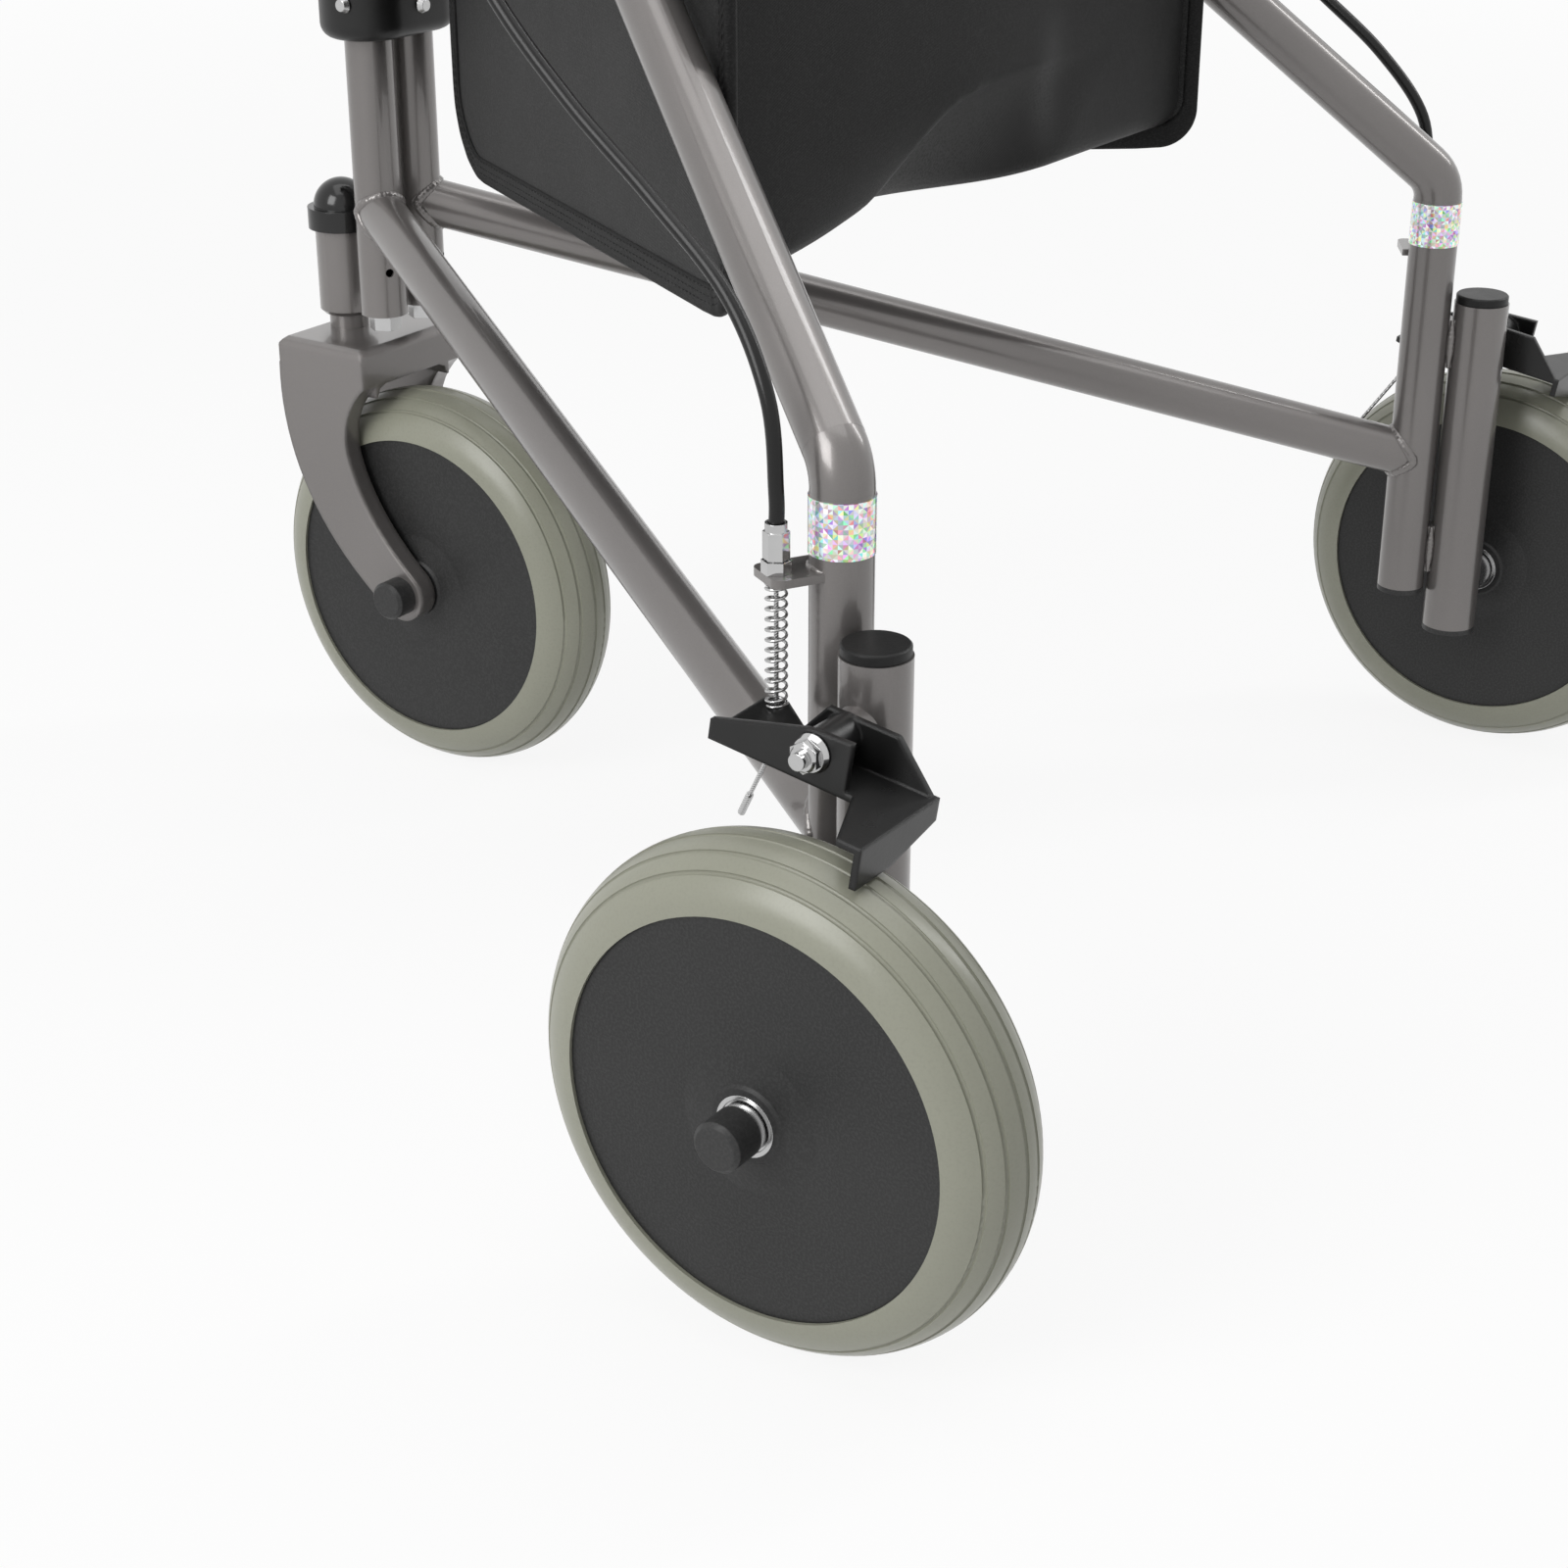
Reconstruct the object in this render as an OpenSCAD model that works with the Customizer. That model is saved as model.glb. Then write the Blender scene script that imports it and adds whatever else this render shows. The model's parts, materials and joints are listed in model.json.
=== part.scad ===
// Three wheel rollator: two splayed side frames on a folding front hinge, a swivelling front wheel,
// braked rear wheels, sliding handles and a bag. Millimetres, +Z up, user at +Y, user's left at +X.

/* [Wheels] */
// Wheel diameter over the tyre
wheel_d = 190; // [160:1:230]
// Tyre width
tyre_w = 46; // [36:1:56]
// Diameter of the wheel disc seen inside the tyre
disc_d = 148; // [120:1:160]
// Width of the wheel disc
disc_w = 43; // [30:1:44]
// Diameter of the raised hub
hub_d = 29; // [26:0.5:36]
// Width of the hub
hub_w = 49; // [45:1:56]
// Outer diameter of a wheel bearing
bearing_d = 22.5; // [19:0.5:24]
// Width of a wheel bearing
bearing_w = 8; // [5:1:12]
// Depth of a tread groove
groove_depth = 0.9; // [0.4:0.1:2]
// Distance between the rear wheels' middle planes
rear_track = 637; // [600:1:700]

/* [Axles] */
// Diameter of the axle shafts
axle_d = 12; // [8:0.5:14]
// Diameter of the spacer beside a rear wheel
spacer_d = 18; // [15:0.5:22]
// Diameter of the plastic cap on an axle end
axle_cap_d = 18.6; // [16:0.2:24]
// Length of the plastic cap on a rear axle end
axle_cap_len = 13.5; // [8:0.5:20]
// Length of the plastic cap on a front axle end
fork_cap_len = 11; // [6:0.5:18]

/* [Side frames] */
// Diameter of the frame tubes
tube_d = 22.2; // [19:0.1:25]
// Wall of the frame tubes
tube_wall = 1.5; // [1:0.1:3]
// Diameter of the axle tubes
axle_tube_d = 25.4; // [22:0.1:30]
// Wall of the axle tubes
tube_bore_wall = 2; // [1:0.1:3]
// Diameter of the lower rails
rail_d = 22; // [18:0.1:22]
// Angle of each side frame from straight back
splay = 30; // [22:0.5:34]
// Distance of each front tube from the middle
front_x = 13.85; // [12.5:0.05:20]
// Distance along a side frame from the front tube to the rear leg
run_rear = 478.8; // [450:0.2:500]
// Gap between the rear leg and the axle tube, bridged by welds
weld_gap = 1.4; // [0.8:0.1:4]
// Bottom of the front tubes
front_tube_bottom = 228; // [226:0.5:240]
// Top of the front tubes
front_tube_top = 722; // [705:1:760]
// Bottom of the rear legs
rear_leg_bottom = 95; // [60:1:110]
// Bottom of the axle tubes
axle_tube_bottom = 75; // [55:1:80]
// Top of the axle tubes
axle_tube_top = 236.5; // [228:0.5:240]
// Height of the lower rail at the front tube
rail_front_z = 277.8; // [262:0.2:300]
// Height of the lower rail at the rear leg
rail_rear_z = 160.7; // [140:0.5:200]
// Slope of the main tube
slope = 39.4; // [34:0.2:41]
// Height where the main tube's line meets the rear leg's line
slope_foot_z = 294; // [288:1:310]
// Radius of the main tube's bend
bend_r = 18; // [15:1:30]
// Height of the reflector band on a rear leg
reflector_h = 19.8; // [10:0.2:20]
// Distance from the cable stop up to the reflector band
reflector_lift = 4.8; // [1:0.2:8]
// Thickness of the cap on an axle tube
tube_cap_t = 4; // [2:0.5:8]
// Height of the weld plates between the rear leg and the axle tube
weld_h = 23; // [14:1:30]
// Diameter of the vent hole in a front tube
vent_d = 4; // [2:0.5:6]

/* [Head and fork] */
// Distance from the front tubes forward to the head tube
head_offset = 36.2; // [35:0.2:46]
// Distance from the head tube's axis back to the front axle
trail = 55.1; // [45:0.5:62]
// Diameter of the head tube
head_d = 27; // [24:0.5:32]
// Bottom of the head tube
head_bottom = 220.5; // [218:0.5:228]
// Top of the head tube
head_top = 262; // [255:1:285]
// Diameter of the fork stem
stem_d = 15; // [12:0.5:17]
// Diameter of the collar between the fork and the head tube
collar_d = 18.6; // [17:0.2:26]
// Flange diameter of the head cap
cap_flange_d = 33; // [31:0.5:40]
// Height of the head cap's flange
cap_flange_h = 10; // [5:0.5:16]
// Thickness of each fork leg
leg_t = 10; // [6:0.5:16]
// Gap between the hub and each fork leg
hub_gap = 1; // [0.5:0.1:3]
// Width of a fork leg at the crown
leg_w_top = 39; // [30:1:46]
// Width of a fork leg at the axle
leg_w_axle = 26; // [22:1:32]
// Top of the fork crown
crown_top = 213.5; // [208:0.5:216]
// Underside of the fork crown
crown_under = 195; // [193.5:0.5:198]
// Reach of the crown behind the head tube's axis
crown_rear = 39; // [30:0.5:44]
// Reach of the crown in front of the head tube's axis
crown_front = 14; // [12:0.5:22]
// Size of the fillets under the crown
gusset = 6; // [3:0.5:8]
// Size of the crown's slanted corners
corner = 4; // [2:0.5:6]

/* [Hinge] */
// Outer radius of a hinge block around each front tube
block_r = 21.5; // [18:0.5:26]
// Height of a hinge block
block_h = 60; // [40:1:70]
// Bottom of the lower hinge block
lower_block_z = 357; // [345:1:400]
// Distance from the top of the front tubes down to the upper hinge block's bottom
upper_block_drop = 150; // [140:1:200]
// Thickness of the spine between the hinge blocks
spine_t = 4.5; // [3:0.1:5]
// Depth of the spine
spine_w = 8; // [5:0.5:9]
// Gap between the front tubes and the spine
spine_gap = 3; // [1:0.2:4]
// Width of the slit that the clamp knob closes
slit_w = 2; // [1:0.2:4]
// Diameter of the clamp bolt in the upper hinge block
clamp_d = 6; // [5:0.5:7]

/* [Handles] */
// Diameter of the handle tubes
handle_d = 19.05; // [17:0.05:19.05]
// Bottom of the handle tubes inside the front tubes
handle_bottom = 560; // [500:1:600]
// Height where the handle tubes start to bend
handle_bend_z = 792; // [785:1:840]
// Radius of the handle tubes' bend
handle_bend_r = 60; // [40:1:90]
// Rise of the handles toward the user
handle_rise = 10; // [4:0.5:16]
// Length of the handles behind the bend
handle_len = 368; // [330:1:400]
// Length of a hand grip
grip_len = 118; // [100:1:130]
// Diameter of a hand grip
grip_d = 32; // [28:0.5:36]
// Diameter of a height knob
knob_d = 36; // [26:1:44]
// Diameter of the knobs' neck
neck_d = 16; // [14:0.5:20]
// Distance from the top of the front tubes down to the height knobs' screws
knob_drop = 66; // [58:1:76]

/* [Brake levers] */
// Diameter of the lever's loop rod
loop_rod_d = 8; // [6:0.5:10]
// Distance from the handle's axis to the loop's upper bar
loop_drop = 36; // [34:0.5:42]
// Distance between the loop's two bars, middle to middle
loop_h = 34; // [30:1:40]
// Length of the loop's straight bars
loop_len = 84; // [70:1:96]
// Length of the lever housing along the handle
housing_len = 40; // [34:1:50]
// Width of the lever housing
housing_w = 30; // [27:0.5:36]

/* [Rear brakes] */
// Height of the brake pivot bolt
pivot_z = 215; // [214:0.2:216]
// Diameter of the brake pivot bolt
pivot_d = 6; // [5:0.5:8]
// Diameter of the collar that carries the pivot bolt
boss_d = 13; // [11:0.5:16]
// Width across the pivot nut's flats
nut_flats = 10; // [8:0.5:13]
// Height of the pivot nut
nut_h = 6; // [4:0.5:8]
// Sheet thickness of the brake arm
arm_t = 2.5; // [1.5:0.1:3]
// Tilt of the brake arm at rest
arm_tilt = 9; // [8:0.2:10]
// Width of the brake arm at the pivot
arm_w = 21; // [18:0.5:21]
// Gap between the axle tube and the brake arm
arm_gap = 4; // [2:0.5:5]
// Reach of the shoe past the tyre's middle plane
shoe_reach = 11; // [4:0.5:15]
// Height of the cable stop's underside
stop_z = 256.5; // [254:0.5:260]
// Thickness of the cable stop
stop_t = 3; // [2:0.1:3.5]
// Distance of the cable stop's hole from the frame plane
stop_off = 23; // [21:0.5:26]
// Outer diameter of the return spring
spring_d = 8; // [6.5:0.1:9]
// Wire diameter of the return spring
spring_wire = 1.1; // [0.8:0.1:1.4]
// Coils of the return spring
spring_coils = 13; // [9:1:15]
// Diameter of the brake cable
cable_d = 5.4; // [4:0.1:6]
// Height of the cable adjuster above its stop
adjuster_h = 17.5; // [15:0.5:24]
// Depth of the cable's seat in the adjuster
cable_seat = 2; // [1:0.5:3]
// Diameter of the inner wire
wire_d = 1.6; // [1:0.1:2]
// Length of the wire's straight end below the arm
wire_drop = 11; // [8:1:20]
// Length of the wire's bent tail
wire_tail = 47; // [20:1:50]
// Angle of the wire's bent tail
wire_bend = 36; // [5:1:45]
// Radius of the bend in the wire's tail
wire_bend_r = 4; // [3:0.5:8]
// Diameter of the ferrule on the wire's end
ferrule_d = 2.8; // [2.4:0.1:5]
// Length of the ferrule on the wire's end
ferrule_len = 12; // [6:0.5:16]

/* [Bag] */
// Half width of the bag's front
bag_front_hw = 17; // [14:0.5:20]
// Angle of each side of the bag from straight back
bag_taper = 32; // [28:0.5:32]
// Distance from the front tubes back to the bag's front
bag_front_run = 54; // [50:1:64]
// Depth of the bag from front to back
bag_depth = 267.5; // [220:0.5:270]
// Bottom of the bag
bag_bottom = 307; // [304:1:340]
// Top of the bag
bag_top = 552; // [500:1:560]
// Thickness of the bag's walls
bag_wall = 2.5; // [1.5:0.1:4]
// Thickness of the bag's straps
strap_t = 1.5; // [1:0.1:2]
// Width of the bag's straps
strap_w = 25; // [15:1:35]
// Length of the flaps from the main tubes to the bag's sides
strap_reach = 24; // [20:1:30]
// Slack of the straps round the tubes
strap_gap = 0.4; // [0.2:0.1:0.8]
// Height of the bag's front strap
strap_z = 500; // [440:1:520]
// Distance along the frame from the front tube to the bag's side straps
strap_run = 196; // [190:1:230]

/* [Fits] */
// How far a tube is drawn in round its bend
bend_draw = 0.05; // [0.03:0.01:0.1]
// Radial clearance of a shaft that turns in its hole
run_clear = 0.06; // [0.02:0.01:0.1]
// Side clearance between pieces that move past each other
side_clear = 0.5; // [0.3:0.1:0.8]
// Clearance of a cable in its seats
cable_clear = 0.35; // [0.2:0.05:0.6]
// Gap that the weld fills where a tube's end is cut round another tube
cope_gap = 0.05; // [0.02:0.01:0.3]

/* [Hidden] */
$fn = 64;
e = 0.01;
wheel_r = wheel_d / 2;
upper_block_z = front_tube_top - upper_block_drop;
knob_z = front_tube_top - knob_drop;
tyre_r = tyre_w / 2;
groove_angles = [8.5, 29.5, 49];
ring_t = 1.6;
tube_r = tube_d / 2;
bag_back_hw = bag_front_hw + bag_depth * tan(bag_taper);
axle_tube_r = axle_tube_d / 2;
run_axle = run_rear + tube_r + weld_gap + axle_tube_r;
wheelbase = run_axle * cos(splay) + head_offset - trail;
rear_y = wheelbase / 2;
front_y = -wheelbase / 2;
tube_y = rear_y - run_axle * cos(splay);
head_y = tube_y - head_offset;
axle_x = front_x + run_axle * sin(splay);
wheel_x = rear_track / 2;
leg_in = hub_w / 2 + hub_gap;
leg_out = leg_in + leg_t;
bend_in = bend_r * tan((90 - slope) / 2);
reflector_z = stop_z + stop_t + reflector_lift;
slope_top_z = slope_foot_z + run_rear * tan(slope);
spring_run = run_rear - 2.5;
spring_x = front_x + spring_run * sin(splay) + stop_off * cos(splay);
spring_y = tube_y + spring_run * cos(splay) - stop_off * sin(splay);
arm_x0 = axle_x + axle_tube_r + arm_gap;
arm_x1 = arm_x0 + arm_w;
web_drop = 11.5;
handle_s0 = [handle_bend_r * (1 - sin(handle_rise)), handle_bend_z + handle_bend_r * cos(handle_rise)];
housing_s = handle_len - grip_len - housing_len - 2;
lever_s = housing_s + housing_len - 12;
frame_paint = [0.46, 0.44, 0.43];
black = [0.09, 0.09, 0.09];
steel = [0.78, 0.78, 0.78];
tyre_grey = [0.58, 0.59, 0.52];
disc_grey = [0.2, 0.2, 0.2];
bag_grey = [0.16, 0.16, 0.16];
band_silver = [0.85, 0.85, 0.88];

// Placing helpers
module on_side() {
    translate([front_x, tube_y, 0])
        rotate([0, 0, 90 - splay])
            children();
}

module rod(r, h) {
    cylinder(r = r, h = h);
}

module along_x(x, y, z) {
    translate([x, y, z])
        rotate([0, 90, 0])
            children();
}

module hex_rod(flats, h) {
    cylinder(d = flats / cos(30), h = h, $fn = 6);
}

// From a point of the side frame's plane, toward a second one
module tube_between(r0, z0, r1, z1, r) {
    len = sqrt((r1 - r0) * (r1 - r0) + (z1 - z0) * (z1 - z0));
    translate([r0, 0, z0])
        rotate([0, 90 - atan2(z1 - z0, r1 - r0), 0])
            rod(r, len);
}

// Along the sloping handle: +X follows the handle, +Z stays up
module on_handle(s) {
    translate([handle_s0[0], 0, handle_s0[1]])
        rotate([0, -handle_rise, 0])
            translate([s, 0, 0])
                children();
}

// Wheels, with the axle along X through the origin
module tyre_shape() {
    rotate([0, 90, 0])
        rotate_extrude()
            difference() {
                translate([wheel_r - tyre_r, 0])
                    circle(r = tyre_r);
                translate([0, -tyre_w])
                    square([disc_d / 2, 2 * tyre_w]);
                for (s = [-1, 1], a = s * groove_angles)
                    translate([wheel_r - tyre_r + tyre_r * cos(a), tyre_r * sin(a)])
                        circle(r = groove_depth, $fn = 24);
            }
}

module disc_shape() {
    difference() {
        rotate([0, 90, 0])
            rotate_extrude()
                polygon([
                    [0, -hub_w / 2 + 0.5], [hub_d / 2 - 1, -hub_w / 2 + 0.5], [hub_d / 2, -hub_w / 2 + 1.5],
                    [hub_d / 2 + 12, -disc_w / 2], [disc_d / 2, -disc_w / 2],
                    [disc_d / 2, disc_w / 2], [hub_d / 2 + 12, disc_w / 2],
                    [hub_d / 2, hub_w / 2 - 1.5], [hub_d / 2 - 1, hub_w / 2 - 0.5], [0, hub_w / 2 - 0.5]
                ]);
        along_x(-hub_w, 0, 0)
            rod(axle_d / 2 + 1.5, 2 * hub_w);
        for (s = [0, 1])
            mirror([s, 0, 0])
                along_x(hub_w / 2 - bearing_w, 0, 0)
                    rod(bearing_d / 2, bearing_w + 1);
    }
}

module bearings_shape() {
    for (s = [0, 1])
        mirror([s, 0, 0])
            along_x(hub_w / 2 - bearing_w, 0, 0)
                difference() {
                    rod(bearing_d / 2, bearing_w);
                    translate([0, 0, -1])
                        rod(axle_d / 2 + run_clear, bearing_w + 2);
                    translate([0, 0, bearing_w - 0.6])
                        difference() {
                            rod(bearing_d / 2 - ring_t, 1);
                            translate([0, 0, -1])
                                rod(axle_d / 2 + ring_t, 3);
                        }
                }
}

module at_front_wheel() {
    translate([0, front_y, wheel_r])
        children();
}

module at_rear_wheel() {
    translate([wheel_x, rear_y, wheel_r])
        children();
}

// Head, hinge and fork
module front_pair() {
    for (s = [-1, 1])
        translate([s * front_x, tube_y, 0])
            children();
}

module spine(clear, z0, z1) {
    translate([-spine_t / 2 - clear, tube_y - tube_r - spine_gap - spine_w - clear, z0])
        cube([spine_t + 2 * clear, spine_w + 2 * clear, z1 - z0]);
}

module head_bracket() {
    color(frame_paint)
        difference() {
            union() {
                translate([0, head_y, head_bottom + 2])
                    rod(head_d / 2, head_top - head_bottom - 2);
                translate([0, head_y, head_bottom])
                    cylinder(r1 = head_d / 2 - 2, r2 = head_d / 2, h = 2 + e);
                translate([-spine_t / 2, head_y, head_bottom + 9])
                    cube([spine_t, head_offset - tube_r - spine_gap, head_top - head_bottom - 9]);
                spine(0, head_bottom + 9, upper_block_z + block_h);
            }
            translate([0, head_y, head_bottom - 1])
                rod(stem_d / 2 + run_clear, head_top - head_bottom + 2);
        }
}

module head_cap() {
    color(black)
        difference() {
            translate([0, head_y, head_top]) {
                rod(cap_flange_d / 2, cap_flange_h);
                translate([0, 0, cap_flange_h])
                    intersection() {
                        sphere(r = head_d / 2);
                        translate([-head_d, -head_d, 0])
                            cube([2 * head_d, 2 * head_d, head_d]);
                    }
            }
            translate([0, head_y, head_top - e])
                rod(head_d / 2 - 1, cap_flange_h + 2);
            spine(side_clear, head_top - 1, head_top + cap_flange_h + head_d);
        }
}

module block_outline(r) {
    union() {
        translate([-front_x, 0])
            circle(r = r);
        translate([front_x, 0])
            circle(r = r);
        translate([-front_x, -r])
            square([2 * front_x, 2 * r]);
    }
}

module hinge_block(z0) {
    difference() {
        translate([0, tube_y, z0])
            union() {
                translate([0, 0, 2])
                    linear_extrude(block_h - 4)
                        block_outline(block_r);
                linear_extrude(block_h)
                    block_outline(block_r - 2);
            }
        front_pair()
            translate([0, 0, z0 - 1])
                rod(tube_r + run_clear, block_h + 2);
        spine(0, z0 - 1, z0 + block_h + 1);
    }
}

module side_screw(z) {
    for (s = [0, 1])
        mirror([s, 0, 0])
            along_x(front_x + block_r - 6, tube_y + 5, z) {
                rod(2, 6);
                translate([0, 0, 5.2])
                    cylinder(r1 = 4, r2 = 2.6, h = 2.4);
            }
}

module back_screw(z) {
    translate([0, tube_y + block_r + 2.4, z])
        rotate([90, 0, 0]) {
            cylinder(r1 = 2.6, r2 = 4, h = 2.4);
            rod(2, 9);
        }
}

module lower_hinge_block() {
    color(black)
        difference() {
            hinge_block(lower_block_z);
            side_screw(lower_block_z + 17);
            back_screw(lower_block_z + 14);
            side_screw(lower_block_z + block_h - 14);
            back_screw(lower_block_z + block_h - 14);
        }
}

// Bolt that closes the upper hinge block, behind the tubes
clamp_y = tube_y + tube_r + clamp_d / 2 + 2;
clamp_z = upper_block_z + block_h / 2;
clamp_seat = front_x + tube_r + 2;
clamp_neck = front_x + block_r + 1.5 - clamp_seat - side_clear;

module upper_hinge_block() {
    color(black)
        difference() {
            hinge_block(upper_block_z);
            translate([-slit_w / 2, tube_y, upper_block_z - 1])
                cube([slit_w, block_r + 1, block_h + 2]);
            along_x(-front_x - block_r, clamp_y, clamp_z)
                rod(clamp_d / 2 + run_clear, 2 * (front_x + block_r));
            along_x(clamp_seat, clamp_y, clamp_z)
                rod(neck_d / 2 + 1, block_r);
        }
}

module hinge_screws() {
    color(steel)
        for (z = [lower_block_z + 14, lower_block_z + block_h - 14]) {
            side_screw(z == lower_block_z + 14 ? z + 3 : z);
            back_screw(z);
        }
}

module fold_clamp_knob() {
    color(black)
        along_x(-front_x, clamp_y, clamp_z) {
            rod(clamp_d / 2, front_x + clamp_seat + 1);
            translate([0, 0, front_x + clamp_seat + side_clear])
                knob_head(clamp_neck);
        }
}

module knob_head(neck) {
    cylinder(r1 = neck_d / 2 - 1, r2 = neck_d / 2, h = neck);
    translate([0, 0, neck])
        difference() {
            rod(knob_d / 2, 16);
            for (a = [0 : 60 : 300])
                rotate([0, 0, a])
                    translate([knob_d / 2 + 2.5, 0, -1])
                        rod(6, 18);
        }
}

// Centre line of a fork leg, from the crown to the axle, in front-to-back and up
leg_p0 = [head_y + 5, crown_under + 4];
leg_p1 = [head_y - 1.5, wheel_r + 45];
leg_p2 = [front_y, wheel_r];
leg_steps = 20;
flare_end = 0.42;

function leg_at(t) = (1 - t) * (1 - t) * leg_p0 + 2 * t * (1 - t) * leg_p1 + t * t * leg_p2;
function leg_dir(t) = 2 * (1 - t) * (leg_p1 - leg_p0) + 2 * t * (leg_p2 - leg_p1);
function leg_n(t) = [-leg_dir(t)[1], leg_dir(t)[0]] / norm(leg_dir(t));
function leg_hw(t) = (leg_w_top + (leg_w_axle - leg_w_top) * t) / 2;
function leg_flare(t) = (crown_rear - 5 - leg_w_top / 2) * pow(max(1 - t / flare_end, 0), 2);
function leg_rear(t) = leg_hw(t) + leg_flare(t);

module leg_outline() {
    polygon(concat(
        [for (i = [0 : leg_steps]) leg_at(i / leg_steps) + leg_rear(i / leg_steps) * leg_n(i / leg_steps)],
        [for (i = [leg_steps : -1 : 0]) leg_at(i / leg_steps) - leg_hw(i / leg_steps) * leg_n(i / leg_steps)]
    ));
}

module in_yz(x, t) {
    translate([x, 0, 0])
        rotate([90, 0, 90])
            linear_extrude(t)
                children();
}

// Fillet under the crown beside a leg, and the slanted corner above it
module crown_gusset() {
    translate([0, head_y + crown_rear, 0])
        rotate([90, 0, 0])
            linear_extrude(crown_rear + crown_front)
                polygon([
                    [leg_in - gusset, crown_under + 1], [leg_in - gusset, crown_under],
                    [leg_in - 0.3 * gusset, crown_under - 0.3 * gusset], [leg_in, crown_under - gusset],
                    [leg_in + 1, crown_under - gusset], [leg_in + 1, crown_under + 1]
                ]);
}

module crown_corner() {
    translate([0, head_y + crown_rear + 1, 0])
        rotate([90, 0, 0])
            linear_extrude(crown_rear + crown_front + 2)
                polygon([
                    [leg_out - corner, crown_top + 1], [leg_out - corner, crown_top],
                    [leg_out - 0.3 * corner, crown_top - 0.3 * corner], [leg_out, crown_top - corner],
                    [leg_out + 1, crown_top - corner], [leg_out + 1, crown_top + 1]
                ]);
}

module front_fork() {
    color(frame_paint)
        difference() {
            union() {
                for (s = [0, 1])
                    mirror([s, 0, 0]) {
                        in_yz(leg_in, leg_t)
                            leg_outline();
                        along_x(leg_in, front_y, wheel_r)
                            rod(leg_w_axle / 2, leg_t);
                        crown_gusset();
                    }
                in_yz(-leg_out, 2 * leg_out)
                    polygon([
                        [head_y - crown_front, crown_under], [head_y + crown_rear, crown_under],
                        [head_y + crown_rear, crown_top - 3], [head_y + crown_rear - 3, crown_top],
                        [head_y - crown_front + 3, crown_top], [head_y - crown_front, crown_top - 3]
                    ]);
            }
            for (s = [0, 1])
                mirror([s, 0, 0])
                    crown_corner();
            along_x(-leg_out - 1, front_y, wheel_r)
                rod(axle_d / 2, 2 * leg_out + 2);
            translate([0, head_y, crown_under - 1])
                rod(stem_d / 2, crown_top - crown_under + 2);
        }
}

module fork_stem() {
    color(black)
        translate([0, head_y, 0]) {
            translate([0, 0, crown_under])
                rod(stem_d / 2, head_top + 4 - crown_under);
            translate([0, 0, crown_top])
                rod(collar_d / 2, head_bottom - side_clear - crown_top);
            translate([0, 0, head_top + side_clear])
                rod(head_d / 2 - 2, 6);
        }
}

module front_axle() {
    color(steel)
        along_x(-leg_out - 5, front_y, wheel_r)
            rod(axle_d / 2, 2 * leg_out + 10);
}

module front_axle_caps() {
    color(black)
        for (s = [0, 1])
            mirror([s, 0, 0])
                along_x(leg_out, front_y, wheel_r)
                    difference() {
                        cap_shape(fork_cap_len);
                        translate([0, 0, -1])
                            rod(axle_d / 2, 6);
                    }
}

module cap_shape(len) {
    rod(axle_cap_d / 2, len - 1.5);
    translate([0, 0, len - 1.5])
        cylinder(r1 = axle_cap_d / 2, r2 = axle_cap_d / 2 - 1.5, h = 1.5);
}

module front_tyre() {
    color(tyre_grey)
        at_front_wheel()
            tyre_shape();
}

module front_wheel_disc() {
    color(disc_grey)
        at_front_wheel()
            disc_shape();
}

module front_wheel_bearings() {
    color(steel)
        at_front_wheel()
            bearings_shape();
}

// Bag: an open-topped wall with bound edges, narrow at the front
module bag_plan(inset) {
    y0 = tube_y + bag_front_run;
    polygon([
        [-bag_front_hw + inset, y0 + inset], [bag_front_hw - inset, y0 + inset],
        [bag_back_hw - 1.6 * inset, y0 + bag_depth - inset],
        [-bag_back_hw + 1.6 * inset, y0 + bag_depth - inset]
    ]);
}

module bag_hollow() {
    translate([0, 0, bag_bottom + bag_wall])
        linear_extrude(bag_top - bag_bottom)
            bag_plan(bag_wall);
}

// Strap round both front tubes, and the flap that ties it to the bag
module front_strap() {
    translate([0, tube_y, strap_z]) {
        linear_extrude(strap_w)
            difference() {
                block_outline(tube_r + strap_gap + strap_t);
                block_outline(tube_r + strap_gap);
            }
        translate([-strap_t / 2, tube_r + strap_gap, 0])
            cube([strap_t, bag_front_run - tube_r - strap_gap + bag_wall, strap_w]);
    }
}

// Strap round one main tube, and the flap that ties it to the bag
module side_strap() {
    on_side()
        translate([strap_run, 0, slope_top_z - strap_run * tan(slope)])
            rotate([0, 90 + slope, 0]) {
                difference() {
                    rod(tube_r + strap_gap + strap_t, strap_w);
                    translate([0, 0, -1])
                        rod(tube_r + strap_gap, strap_w + 2);
                }
                translate([-strap_t / 2, tube_r + strap_gap, 0])
                    cube([strap_t, strap_reach, strap_w]);
            }
}

module bag() {
    color(bag_grey)
        difference() {
            union() {
                translate([0, 0, bag_bottom])
                    linear_extrude(bag_top - bag_bottom)
                        bag_plan(0);
                front_strap();
                side_strap();
                mirror([1, 0, 0])
                    side_strap();
            }
            bag_hollow();
        }
}

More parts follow.
